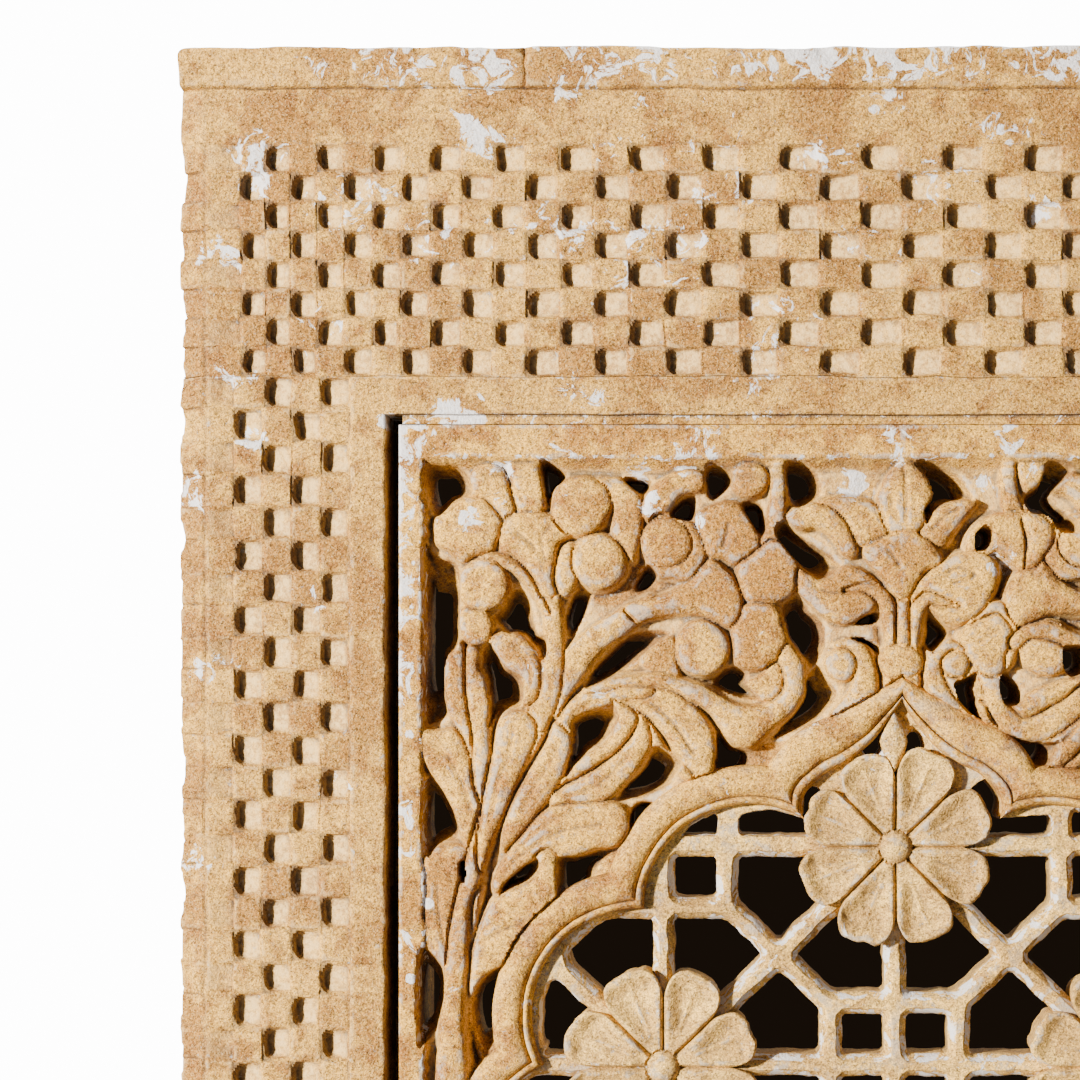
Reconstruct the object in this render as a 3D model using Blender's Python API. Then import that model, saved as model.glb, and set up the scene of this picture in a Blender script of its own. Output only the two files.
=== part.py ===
"""Stone jali panel: a border frame of sunk checks and the pierced slab that stands in it.

Metres, +Z up. The carved front faces -Y, and the origin is at the middle of the underside. A depth is
measured back from the plane of the frame's fillet, which is the foremost plane of the panel.
"""

import math

import bmesh
import bpy
from mathutils import Matrix, Vector

# Whole panel
PANEL_WIDTH = 0.900
PANEL_HEIGHT = 1.005
PANEL_THICKNESS = 0.100
CLEARANCE = 0.0003

# Border at the sides, from the outside in
EDGE_STRIP = 0.0167
SIDE_COLUMNS = 5
SIDE_COLUMN = 0.0180
SIDE_FILLET = 0.0217
SIDE_SLOT = 0.0087

# Border at the top, from the outside in
TOP_STRIP = 0.0254
PLAIN_BAND = 0.0350
TOP_ROWS = 8
TOP_ROW = 0.0181
TOP_FILLET = 0.0240
BED_JOINT = 0.0056
BED_RECESS = 0.003

# Checks: the top rows have an edge cell, then cells that widen towards the middle
CELLS_ACROSS = 42
EDGE_CELL = 0.0223
NARROW_CELL = 0.0152
SIDE_ROW = 0.0203
CHECK_DEPTH = 0.007
CHECK_INSET = 0.0006
CHECK_OPENING = 0.009

# Plain foot
PEDESTAL = 0.254
SILL = 0.1153
SILL_FILLET = 0.0223
PLINTH = 0.078

# Frame profile
FACE_DEPTH = 0.002
EDGE_BEVEL = 0.012
REBATE_COVER = 0.012

# Slab
SLAB_FRONT = 0.0015
SLAB_THICKNESS = 0.058
SLAB_MARGIN = 0.0149
SLAB_TOP_MARGIN = 0.0205
GROUND_DEPTH = 0.012
FOOT_MARGIN = 0.0205

# Arch and its moulding
MOULDING_TOP = 0.0035
FILLET_TOP = 0.007
MOULDING_WIDTH = 40
FILLET_SHARE = 9
LOBE_STEPS = 4
HEAD_STEPS = 3
TIP_STEPS = 3

# Lattice: its places and its blocks are shares of the slab, so that it keeps to the arch
LATTICE_FRONT = 0.015
LATTICE_THICKNESS = 0.034
LATTICE_PITCH_SHARE = (0.23186, 0.21967)
LATTICE_SHIFT_SHARE = -0.00591
LATTICE_TOP_NODE_SHARE = 0.41970
BLOCK_SHARE = (0.5555, 0.5676)
BAR_WIDTH = 0.0136
ROSETTE_RADIUS = 0.0614
ROSETTE_RISE = 0.010
ROSETTE_BOSS = 0.0108
PETALS = 8

# The carving is drawn on a grid of units that are square at the real size of the slab
GRID_SLAB_WIDTH = 1010
GRID_SLAB_HEIGHT = 1011
GRID_AXIS = 903
GRID_SLAB_TOP = 424

# Arch on the carving grid: cusps on a circle that keeps inside the slab's edges, with a lobe between
# each pair, and a head whose round part starts at the first cusp
CUSP_CENTRE = (GRID_AXIS, 1189)
CUSP_INSET = 125
CUSP_RADIUS = GRID_SLAB_WIDTH / 2 - CUSP_INSET
FIRST_CUSP = math.radians(14.8)
CUSP_STEP = math.radians(28.35)
LOBES = 3
LOBE_RADIUS = 107
HEAD_RADIUS = 47
HEAD_SHARE = (0.8950933620, 0.3958960070)
HEAD_CENTRE = (
    CUSP_CENTRE[0] - CUSP_RADIUS * math.sin(FIRST_CUSP) + HEAD_SHARE[0] * HEAD_RADIUS,
    CUSP_CENTRE[1] - CUSP_RADIUS * math.cos(FIRST_CUSP) - HEAD_SHARE[1] * HEAD_RADIUS,
)
HEAD_TURN = math.radians(113)
OGEE_RISE = 108
OGEE_TIP = (GRID_AXIS, HEAD_CENTRE[1] - OGEE_RISE)
OGEE_REACH = 40

# Small steps, seats and roundings, and how finely the carving is cut
OVERLAP = 0.005
FLAT = math.radians(0.3)
KNOB_FACE = 0.72
LATTICE_SEAT = 14
PLATE_SEAT = 8
ROUND_RISE = 6
ROUND_FOOT = 0.003
JAMB_SINK = 0.004
JAMB_CAP = 0.016
CARVING_TOP = 0.0025
STEM_SINK = 0.0015
LEAF_STEPS = 2
SLIT = 14
LEAF_TIP = 0.12
DISC_SIDES = 8
BOSS_SIDES = 8
PETAL_SAMPLES = (1.0, 1.0, 0.62)
PETAL_HOLLOW = 0.55
PETAL_DIP = 0.0045

# Lattice nodes from the upper rosette: columns to the right, rows down
LATTICE_COLUMNS = range(-2, 3)
LATTICE_ROWS = range(-1, 4)
ROSETTES = ((0, 0), (-1, 1), (1, 1), (0, 2))

# Left spandrel on the carving grid. A stem is its points and half width; a leaf is its base, tip,
# half width and bow; a disc is its centre and radius; a hole is like a leaf.
STEMS = (
    (((462, 1110), (472, 925), (504, 806), (560, 700), (636, 612)), 9),
    (((560, 700), (552, 640), (540, 556)), 6),
    (((777, 458), (777, 540)), 7),
)
LEAVES = (
    ((537, 566), (536, 504), 34, 0.0),
    ((512, 545), (434, 506), 17, 0.16),
    ((520, 515), (488, 462), 14, -0.2),
    ((530, 512), (540, 462), 14, 0.0),
    ((552, 528), (608, 482), 15, 0.2),
    ((640, 622), (744, 584), 34, 0.0),
    ((706, 566), (762, 506), 24, 0.1),
    ((738, 590), (806, 552), 20, 0.0),
    ((730, 606), (790, 668), 24, -0.1),
    ((700, 512), (640, 470), 20, 0.2),
    ((572, 692), (690, 690), 20, 0.08),
    ((660, 686), (804, 660), 26, -0.3),
    ((466, 742), (462, 612), 21, 0.0),
    ((524, 682), (514, 632), 21, 0.0),
    ((474, 790), (418, 728), 19, 0.15),
    ((566, 790), (528, 716), 19, -0.1),
    ((500, 842), (640, 812), 22, 0.12),
    ((464, 985), (424, 845), 20, 0.1),
    ((470, 945), (566, 872), 20, 0.1),
)
DISCS = (
    ((482, 585), 27),
    ((590, 562), 28),
    ((672, 545), 29),
    ((701, 648), 28),
    ((752, 482), 20),
    ((506, 728), 19),
    ((594, 728), 22),
)
HOLES = (
    ((427, 470), (466, 500), 20, 0.0),
    ((438, 545), (431, 722), 14, -0.03),
    ((500, 604), (544, 650), 19, 0.0),
    ((587, 590), (568, 634), 9, 0.0),
    ((584, 686), (650, 634), 13, -0.08),
    ((492, 645), (511, 702), 14, 0.0),
    ((545, 464), (548, 504), 10, 0.0),
    ((707, 464), (724, 498), 12, 0.0),
    ((640, 582), (653, 566), 8, 0.0),
    ((787, 462), (812, 506), 17, 0.0),
    ((778, 524), (838, 576), 14, -0.05),
    ((790, 600), (818, 656), 15, 0.0),
    ((712, 682), (752, 672), 9, 0.0),
    ((440, 786), (434, 846), 14, 0.0),
    ((428, 958), (427, 1050), 9, 0.0),
    ((494, 962), (486, 1056), 12, 0.0),
    ((506, 896), (530, 862), 10, 0.0),
    ((556, 896), (616, 858), 20, 0.0),
    ((704, 784), (752, 752), 14, 0.0),
)
# Finial over the arch, each piece like a leaf; those off the axis have a twin
FINIAL = (
    ((903, 690), (903, 640), 22, 0.0),
    ((903, 655), (903, 618), 18, 0.0),
    ((903, 640), (903, 575), 12, 0.0),
    ((903, 590), (903, 522), 42, 0.0),
    ((907, 560), (907, 455), 28, 0.0),
    ((880, 575), (818, 494), 20, 0.15),
    ((890, 640), (796, 566), 24, 0.15),
    ((888, 640), (828, 684), 18, -0.2),
)

STONE_COLOUR = (0.71, 0.50, 0.27, 1.0)
BORDER_COLOUR = (0.66, 0.43, 0.22, 1.0)
STONE_ROUGHNESS = 0.92

FRONT_Y = -PANEL_THICKNESS / 2
HALF_WIDTH = PANEL_WIDTH / 2
SLAB_WIDTH = PANEL_WIDTH - 2 * (EDGE_STRIP + SIDE_COLUMNS * SIDE_COLUMN + SIDE_FILLET + SIDE_SLOT)
TOP_BORDER = TOP_STRIP + PLAIN_BAND + TOP_ROWS * TOP_ROW + TOP_FILLET
OPENING_TOP = PANEL_HEIGHT - TOP_BORDER
OPENING_FOOT = SILL + SILL_FILLET
SLAB_TOP = OPENING_TOP - BED_JOINT - CLEARANCE
SLAB_FOOT = OPENING_FOOT + BED_JOINT + CLEARANCE
SLAB_HEIGHT = SLAB_TOP - SLAB_FOOT
SLAB_BACK = SLAB_FRONT + SLAB_THICKNESS
UNIT = SLAB_WIDTH / GRID_SLAB_WIDTH
UNIT_RISE = SLAB_HEIGHT / GRID_SLAB_HEIGHT
LATTICE_PITCH_X = LATTICE_PITCH_SHARE[0] * SLAB_WIDTH
LATTICE_PITCH_Z = LATTICE_PITCH_SHARE[1] * SLAB_HEIGHT
LATTICE_SHIFT = LATTICE_SHIFT_SHARE * SLAB_WIDTH
LATTICE_TOP_NODE = LATTICE_TOP_NODE_SHARE * SLAB_HEIGHT
BLOCK_WIDTH = BLOCK_SHARE[0] * LATTICE_PITCH_X
BLOCK_HEIGHT = BLOCK_SHARE[1] * LATTICE_PITCH_Z


def clear_scene():
    for item in list(bpy.data.objects):
        bpy.data.objects.remove(item, do_unlink=True)


def new_collection(name):
    collection = bpy.data.collections.new(name)
    bpy.context.scene.collection.children.link(collection)
    return collection


def stone(name, colour):
    material = bpy.data.materials.new(name)
    material.use_nodes = True
    shader = material.node_tree.nodes["Principled BSDF"]
    shader.inputs["Base Color"].default_value = colour
    shader.inputs["Roughness"].default_value = STONE_ROUGHNESS
    shader.inputs["Metallic"].default_value = 0.0
    return material


def add_mesh(name, shape, collection, helper=True):
    """Put a bmesh into the scene as an object; a helper is left out of the render."""
    bmesh.ops.recalc_face_normals(shape, faces=shape.faces)
    mesh = bpy.data.meshes.new(name)
    shape.to_mesh(mesh)
    shape.free()
    item = bpy.data.objects.new(name, mesh)
    collection.objects.link(item)
    if helper:
        item.hide_render = True
        item.display_type = "WIRE"
    return item


def boxes(name, extents, collection, helper=True):
    """Boxes as one mesh, each from its ranges of x, of z and of depth."""
    shape = bmesh.new()
    for x_range, z_range, depths in extents:
        low = Vector((x_range[0], FRONT_Y + depths[0], z_range[0]))
        high = Vector((x_range[1], FRONT_Y + depths[1], z_range[1]))
        size = Matrix.Diagonal((high - low).to_4d())
        size[3][3] = 1.0
        bmesh.ops.create_cube(shape, size=1, matrix=Matrix.Translation((low + high) / 2) @ size)
    return add_mesh(name, shape, collection, helper)


def prism(name, outlines, front, back, collection, helper=True):
    """A plate between two depths, from flat (x, z) outlines; an outline inside another is a hole."""
    curve = bpy.data.curves.new(name, "CURVE")
    curve.dimensions = "2D"
    curve.fill_mode = "BOTH"
    curve.extrude = (back - front) / 2
    for outline in outlines:
        spline = curve.splines.new("POLY")
        spline.points.add(len(outline) - 1)
        spline.use_cyclic_u = True
        for point, (x, z) in zip(spline.points, outline):
            point.co = (x, z, 0, 1)
    drawn = bpy.data.objects.new(name + "_outline", curve)
    bpy.context.scene.collection.objects.link(drawn)
    graph = bpy.context.evaluated_depsgraph_get()
    mesh = bpy.data.meshes.new_from_object(drawn.evaluated_get(graph))
    bpy.data.objects.remove(drawn, do_unlink=True)
    shape = bmesh.new()
    shape.from_mesh(mesh)
    bpy.data.meshes.remove(mesh)
    bmesh.ops.remove_doubles(shape, verts=shape.verts, dist=1e-6)
    bmesh.ops.dissolve_limit(shape, angle_limit=FLAT, verts=shape.verts, edges=shape.edges)
    stand = Matrix.Translation((0, FRONT_Y + (front + back) / 2, 0)) @ Matrix.Rotation(math.pi / 2, 4, "X")
    bmesh.ops.transform(shape, matrix=stand, verts=shape.verts)
    return add_mesh(name, shape, collection, helper)


def loft(name, sections, collection):
    """A body through sections of (x, z, depth) points, all with the same number of them."""
    shape = bmesh.new()
    rings = [[shape.verts.new((x, FRONT_Y + depth, z)) for x, z, depth in section] for section in sections]
    for ring, following in zip(rings, rings[1:]):
        for here, beside in zip(range(len(ring)), [*range(1, len(ring)), 0]):
            shape.faces.new((ring[here], ring[beside], following[beside], following[here]))
    shape.faces.new(rings[0])
    shape.faces.new(rings[-1])
    return add_mesh(name, shape, collection)


def combine(item, name, operation, operand):
    """Add a Boolean with one object, or with every object of a collection."""
    modifier = item.modifiers.new(name, "BOOLEAN")
    modifier.operation = operation
    modifier.solver = "EXACT"
    if isinstance(operand, bpy.types.Collection):
        modifier.operand_type = "COLLECTION"
        modifier.collection = operand
    else:
        modifier.object = operand


def tidy(item):
    """Merge the faces that the Booleans left in one plane."""
    modifier = item.modifiers.new("Merge flat faces", "DECIMATE")
    modifier.decimate_type = "DISSOLVE"
    modifier.angle_limit = FLAT


def on_grid(u, v):
    """World (x, z) of a point of the carving grid, whose v runs down."""
    return ((u - GRID_AXIS) * UNIT, SLAB_TOP - (v - GRID_SLAB_TOP) * UNIT_RISE)


def mirrored(points):
    return [(-x, z) for x, z in reversed(points)]


def bezier(start, control, end, steps):
    """Points along a quadratic curve, its start and end among them."""
    points = []
    for step in range(steps + 1):
        t = step / steps
        weights = ((1 - t) ** 2, 2 * t * (1 - t), t ** 2)
        points.append(tuple(sum(w * p[i] for w, p in zip(weights, (start, control, end))) for i in (0, 1)))
    return points


def crossing(first, second, near):
    """The point nearest to another where two circles (centre, radius) cross."""
    (ax, ay), ar = first
    (bx, by), br = second
    gap = math.hypot(bx - ax, by - ay)
    along = (ar ** 2 - br ** 2 + gap ** 2) / (2 * gap)
    aside = math.sqrt(ar ** 2 - along ** 2)
    ex, ey = (bx - ax) / gap, (by - ay) / gap
    choices = [(ax + along * ex + side * ey, ay + along * ey - side * ex) for side in (-aside, aside)]
    return min(choices, key=lambda point: math.dist(point, near))


def cusp(index):
    angle = FIRST_CUSP + index * CUSP_STEP
    return (CUSP_CENTRE[0] - CUSP_RADIUS * math.sin(angle), CUSP_CENTRE[1] - CUSP_RADIUS * math.cos(angle))


def lobe_centre(index):
    """Centre of the lobe below a cusp: on the arch's side of the chord to the next cusp."""
    (ax, ay), (bx, by) = cusp(index), cusp(index + 1)
    middle = ((ax + bx) / 2, (ay + by) / 2)
    inset = math.sqrt(LOBE_RADIUS ** 2 - (math.dist((ax, ay), (bx, by)) / 2) ** 2)
    reach = math.dist(middle, CUSP_CENTRE)
    return tuple(m + (c - m) * inset / reach for m, c in zip(middle, CUSP_CENTRE))


def arc(centre, radius, start, end, steps):
    """Points along the arc that runs anticlockwise on the grid from one point to another, start left out."""
    first = math.atan2(start[1] - centre[1], start[0] - centre[0])
    turn = (first - math.atan2(end[1] - centre[1], end[0] - centre[0])) % (2 * math.pi)
    angles = [first - turn * step / steps for step in range(1, steps + 1)]
    return [(centre[0] + radius * math.cos(a), centre[1] + radius * math.sin(a)) for a in angles]


def arch_line(offset):
    """The left half of the arch from its tip to its foot, on the grid, at a distance outside its edge."""
    circles = [(HEAD_CENTRE, HEAD_RADIUS + offset)]
    circles += [(lobe_centre(index), LOBE_RADIUS + offset) for index in range(LOBES)]
    turn = HEAD_TURN
    (hx, hy), head = circles[0]
    shoulder = (hx + head * math.cos(turn), hy - head * math.sin(turn))
    control = (shoulder[0] + OGEE_REACH * math.sin(turn), shoulder[1] + OGEE_REACH * math.cos(turn))
    tip = (OGEE_TIP[0], OGEE_TIP[1] - offset / 2)
    points = bezier(tip, control, shoulder, TIP_STEPS)
    steps = HEAD_STEPS
    for index, (here, below) in enumerate(zip(circles, circles[1:])):
        meeting = crossing(here, below, cusp(index))
        points += arc(*here, points[-1], meeting, steps)
        steps = LOBE_STEPS
    (lx, ly), radius = circles[-1]
    foot_v = cusp(LOBES)[1]
    foot = (lx - math.sqrt(radius ** 2 - (foot_v - ly) ** 2), foot_v)
    return points + arc(*circles[-1], points[-1], foot, steps)


def arch_outline(offset, foot_z):
    """The closed opening of the arch in (x, z), its jambs running straight down to foot_z."""
    left = [on_grid(*point) for point in arch_line(offset)]
    left.append((left[-1][0], foot_z))
    return left + mirrored(left[1:])


def ridge(name, spine, half_widths, crest, foot, collection):
    """A leaf or stem: a roof along a spine on the grid, its crest and its foot given as depths."""
    sections = []
    for index, (u, v) in enumerate(spine):
        before, after = spine[max(index - 1, 0)], spine[min(index + 1, len(spine) - 1)]
        length = math.dist(before, after)
        across = ((before[1] - after[1]) / length, (after[0] - before[0]) / length)
        half = half_widths[index]
        left = on_grid(u - across[0] * half, v - across[1] * half)
        right = on_grid(u + across[0] * half, v + across[1] * half)
        sections.append([(*left, foot), (*on_grid(u, v), crest), (*right, foot)])
    return loft(name, sections, collection)


def leaf_spine(base, tip, bend, steps):
    """The midrib of a leaf: a curve from base to tip, bowed by a share of its length."""
    middle = [(b + t) / 2 for b, t in zip(base, tip)]
    control = (middle[0] + bend * (tip[1] - base[1]), middle[1] - bend * (tip[0] - base[0]))
    return bezier(base, control, tip, steps)


def leaf_widths(half_width):
    """Half widths along a leaf, full in its middle and narrow at both ends."""
    shares = [math.sin(math.pi * step / LEAF_STEPS) for step in range(LEAF_STEPS + 1)]
    return [half_width * max(share, LEAF_TIP) for share in shares]


def lens(base, tip, half_width, bend=0.0):
    """A pointed outline on the grid round a bowed midrib."""
    spine = leaf_spine(base, tip, bend, 3 if half_width > SLIT else 2)
    length = math.dist(base, tip)
    across = ((base[1] - tip[1]) / length * half_width, (tip[0] - base[0]) / length * half_width)
    left = [(u - across[0], v - across[1]) for u, v in spine[1:-1]]
    right = [(u + across[0], v + across[1]) for u, v in reversed(spine[1:-1])]
    return [on_grid(*point) for point in (base, *left, tip, *right)]


def knob(name, centre, radius, depths, sides, collection):
    """A low round boss, smaller at its face, with its centre and radius as real sizes."""
    shape = bmesh.new()
    x, z = centre
    front, back = depths
    stand = Matrix.Translation((x, FRONT_Y + (front + back) / 2, z)) @ Matrix.Rotation(math.pi / 2, 4, "X")
    bmesh.ops.create_cone(
        shape,
        cap_ends=True,
        segments=sides,
        radius1=radius,
        radius2=radius * KNOB_FACE,
        depth=back - front,
        matrix=stand,
    )
    return add_mesh(name, shape, collection)


def on_both_sides(item, collection):
    """A mirrored copy of a carved piece, for the other spandrel."""
    copy = item.data.copy()
    copy.transform(Matrix.Scale(-1, 4, (1, 0, 0)))
    copy.flip_normals()
    other = bpy.data.objects.new(item.name + "_right", copy)
    other.hide_render = True
    other.display_type = "WIRE"
    collection.objects.link(other)


def check_edges():
    """The x of every line between the cells of the top rows, from left to right."""
    half = CELLS_ACROSS // 2
    inner = PANEL_WIDTH / 2 - EDGE_STRIP - EDGE_CELL
    cells = half - 1
    growth = 2 * (inner / cells - NARROW_CELL) / (cells - 1)
    widths = [EDGE_CELL] + [NARROW_CELL + growth * index for index in range(cells)]
    edges = [-HALF_WIDTH + EDGE_STRIP]
    for width in widths:
        edges.append(edges[-1] + width)
    return edges[:-1] + [0.0] + [-edge for edge in reversed(edges[:-1])]


def sunk_checks():
    """Boxes that sink every other cell of the top rows and of the side columns."""
    front = FACE_DEPTH - OVERLAP
    floor = FACE_DEPTH + CHECK_DEPTH
    rows_top = PANEL_HEIGHT - TOP_STRIP - PLAIN_BAND
    rows_foot = rows_top - TOP_ROWS * TOP_ROW
    cells = []
    edges = check_edges()
    for row in range(TOP_ROWS):
        z_range = (rows_top - (row + 1) * TOP_ROW, rows_top - row * TOP_ROW)
        for column, x_range in enumerate(zip(edges, edges[1:])):
            if (row + column) % 2 == 0:
                cells.append((x_range, z_range))
    side_rows = round((rows_foot - PEDESTAL) / SIDE_ROW)
    height = (rows_foot - PEDESTAL) / side_rows
    for row in range(side_rows):
        z_range = (rows_foot - (row + 1) * height, rows_foot - row * height)
        for column in range(SIDE_COLUMNS):
            left = -HALF_WIDTH + EDGE_STRIP + column * SIDE_COLUMN
            if (row + TOP_ROWS + column) % 2 == 0:
                cells.append(((left, left + SIDE_COLUMN), z_range))
            else:
                cells.append(((-left - SIDE_COLUMN, -left), z_range))
    outermost = HALF_WIDTH - EDGE_STRIP
    extents = []
    for (left, right), (low, high) in cells:
        left_inset = -CHECK_OPENING if left < CHECK_INSET - outermost else CHECK_INSET
        right_inset = -CHECK_OPENING if right > outermost - CHECK_INSET else CHECK_INSET
        x_range = (left + left_inset, right - right_inset)
        extents.append((x_range, (low + CHECK_INSET, high - CHECK_INSET), (front, floor)))
    return extents


def ring(outer, inner, depths):
    """Four boxes round an opening, from outer and inner (x half width, low z, high z)."""
    outer_x, outer_low, outer_high = outer
    inner_x, inner_low, inner_high = inner
    return [
        ((-outer_x, outer_x), (inner_high, outer_high), depths),
        ((-outer_x, outer_x), (outer_low, inner_low), depths),
        ((-outer_x, -inner_x), (inner_low, inner_high), depths),
        ((inner_x, outer_x), (inner_low, inner_high), depths),
    ]


def rectangle(half_width, low, high):
    return [(-half_width, low), (half_width, low), (half_width, high), (-half_width, high)]


def build_frame(parts, cutters):
    """The border stone: face, proud bands, rebate for the slab, sloped edges and sunk checks."""
    additions = bpy.data.collections.new("frame_additions")
    cutters.children.link(additions)
    opening = (SLAB_WIDTH / 2 + SIDE_SLOT, OPENING_FOOT, OPENING_TOP)
    ledge = SLAB_BACK + CLEARANCE
    outer = rectangle(HALF_WIDTH, 0.0, PANEL_HEIGHT)
    sight = (SLAB_WIDTH / 2 - REBATE_COVER, SLAB_FOOT + REBATE_COVER, SLAB_TOP - REBATE_COVER)
    around = [outer, rectangle(*sight)]
    frame = prism("border_frame", around, FACE_DEPTH, PANEL_THICKNESS, parts, helper=False)
    rebate = [((-opening[0], opening[0]), (OPENING_FOOT, OPENING_TOP), (0.0, ledge))]
    combine(frame, "Rebate", "DIFFERENCE", boxes("rebate", rebate, cutters))
    proud = (0.0, FACE_DEPTH + OVERLAP)
    fillet = (opening[0] + SIDE_FILLET, SILL, OPENING_TOP + TOP_FILLET)
    boxes("fillet", ring(fillet, opening, proud), additions)
    across = (-HALF_WIDTH, HALF_WIDTH)
    boxes("top_strip", [(across, (PANEL_HEIGHT - TOP_STRIP, PANEL_HEIGHT), proud)], additions)
    boxes("plinth", [(across, (0.0, PLINTH), proud)], additions)
    bed = (BED_RECESS, ledge + OVERLAP)
    wide = (-opening[0] - OVERLAP, opening[0] + OVERLAP)
    boxes("head_bed", [(wide, (SLAB_TOP + CLEARANCE, OPENING_TOP + OVERLAP), bed)], additions)
    boxes("foot_bed", [(wide, (OPENING_FOOT - OVERLAP, SLAB_FOOT - CLEARANCE), bed)], additions)
    combine(frame, "Bands", "UNION", additions)
    slopes = bpy.data.collections.new("edge_slopes")
    cutters.children.link(slopes)
    levels = (PLINTH, PANEL_HEIGHT - TOP_STRIP)
    for side in (-1, 1):
        inner, outer = side * (HALF_WIDTH - EDGE_STRIP), side * (HALF_WIDTH + EDGE_STRIP)
        section = [(inner, FACE_DEPTH), (outer, FACE_DEPTH + 2 * EDGE_BEVEL), (outer, FACE_DEPTH)]
        loft(f"slope_{side}", [[(x, z, depth) for x, depth in section] for z in levels], slopes)
    combine(frame, "Edge slopes", "DIFFERENCE", slopes)
    combine(frame, "Checks", "DIFFERENCE", boxes("checks", sunk_checks(), cutters))
    tidy(frame)
    return frame


def clipped(polygon, origin, normal):
    """The part of a convex polygon on the side of a line that its normal points to."""
    heights = [(x - origin[0]) * normal[0] + (z - origin[1]) * normal[1] for x, z in polygon]
    kept = []
    for index, (point, height) in enumerate(zip(polygon, heights)):
        following, beyond = polygon[(index + 1) % len(polygon)], heights[(index + 1) % len(polygon)]
        if height >= 0:
            kept.append(point)
        if height * beyond < 0:
            share = height / (height - beyond)
            kept.append(tuple(a + (b - a) * share for a, b in zip(point, following)))
    return kept


def lattice_node(column, row):
    return (LATTICE_SHIFT + column * LATTICE_PITCH_X, SLAB_TOP - LATTICE_TOP_NODE - row * LATTICE_PITCH_Z)


def is_rosette(column, row):
    return (column + row) % 2 == 0


def cell_holes(column, row):
    """The four holes of one cell of the lattice, between its edge bars, its two diagonals and its blocks."""
    names = [(column, row), (column + 1, row), (column + 1, row + 1), (column, row + 1)]
    corners = [lattice_node(*name) for name in names]
    middle = tuple(sum(corner[i] for corner in corners) / 4 for i in (0, 1))
    half_bar = BAR_WIDTH / 2
    holes = []
    for index in range(4):
        polygon = list(corners)
        ends = [(names[index], corners[index]), (names[(index + 1) % 4], corners[(index + 1) % 4])]
        (_, start), (_, end) = ends
        for first, second, inside in ((start, end, middle), (start, middle, end), (end, middle, start)):
            length = math.dist(first, second)
            normal = ((first[1] - second[1]) / length, (second[0] - first[0]) / length)
            toward = (inside[0] - first[0]) * normal[0] + (inside[1] - first[1]) * normal[1]
            normal = normal if toward > 0 else (-normal[0], -normal[1])
            origin = tuple(p + half_bar * n for p, n in zip(first, normal))
            polygon = clipped(polygon, origin, normal)
        for (name, node), other in zip(ends, (end, start)):
            if not is_rosette(*name):
                along = tuple((o - n) / math.dist(other, node) for o, n in zip(other, node))
                block = BLOCK_WIDTH if abs(along[0]) > abs(along[1]) else BLOCK_HEIGHT
                origin = tuple(n + (block + BAR_WIDTH) / 2 * a for n, a in zip(node, along))
                polygon = clipped(polygon, origin, along)
        holes.append(polygon)
    return holes


def block_holes(column, row):
    """The four square holes of a block."""
    x, z = lattice_node(column, row)
    near, far = BAR_WIDTH / 2, (BLOCK_WIDTH - BAR_WIDTH) / 2
    low, high = BAR_WIDTH / 2, (BLOCK_HEIGHT - BAR_WIDTH) / 2
    square = [(near, low), (far, low), (far, high), (near, high)]
    return [[(x + sx * px, z + sz * pz) for px, pz in square] for sx in (-1, 1) for sz in (-1, 1)]


def inside(point, outline):
    """Whether a point lies in an outline, by the sides that a ray to the right crosses."""
    crossed = False
    for (ax, az), (bx, bz) in zip(outline, outline[1:] + outline[:1]):
        if (az > point[1]) != (bz > point[1]):
            crossed ^= point[0] < ax + (point[1] - az) * (bx - ax) / (bz - az)
    return crossed


def build_lattice(relief, cutters):
    """The pierced plate in the arch, its rim held in the moulding."""
    foot = SLAB_FOOT + FOOT_MARGIN / 2
    front = SLAB_FRONT + LATTICE_FRONT
    plate = prism("lattice", [arch_outline(LATTICE_SEAT, foot)], front, front + LATTICE_THICKNESS, relief)
    holes = []
    for row in LATTICE_ROWS:
        for column in LATTICE_COLUMNS:
            if column + 1 in LATTICE_COLUMNS and row + 1 in LATTICE_ROWS:
                holes += cell_holes(column, row)
            if not is_rosette(column, row):
                holes += block_holes(column, row)
    shown = arch_outline(0, SLAB_FOOT + FOOT_MARGIN)
    open_holes = [hole for hole in holes if any(inside(point, shown) for point in hole)]
    deep = front + LATTICE_THICKNESS + OVERLAP
    cutter = prism("lattice_holes", open_holes, front - OVERLAP, deep, cutters)
    combine(plate, "Holes", "DIFFERENCE", cutter)


def rosette_ring(centre, reach, depth):
    """One contour of a rosette: its reach at the two shoulders and the notch of each petal, as shares."""
    steps = len(PETAL_SAMPLES) * PETALS
    points = []
    for step in range(steps):
        sample = step % len(PETAL_SAMPLES)
        angle = 2 * math.pi * ((step - 0.5) / steps + 0.5 / PETALS)
        radius = ROSETTE_RADIUS * reach * (1 + (PETAL_SAMPLES[sample] - 1) * min(1.0, reach))
        points.append((centre[0] + radius * math.cos(angle), centre[1] + radius * math.sin(angle), depth))
    return points


def build_rosette(column, row, relief):
    """Eight spooned petals round a boss, on a node of the lattice."""
    centre = lattice_node(column, row)
    back = SLAB_FRONT + LATTICE_FRONT + LATTICE_THICKNESS
    rim = SLAB_FRONT + LATTICE_FRONT - ROSETTE_RISE
    name = f"rosette_{column}_{row}"
    contours = [
        rosette_ring(centre, 1.0, back),
        rosette_ring(centre, 1.0, rim),
        rosette_ring(centre, PETAL_HOLLOW, rim + PETAL_DIP),
    ]
    loft(name, contours, relief)
    knob(name + "_boss", centre, ROSETTE_BOSS, (rim - PETAL_DIP / 2, rim + 2 * PETAL_DIP), BOSS_SIDES, relief)


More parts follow.
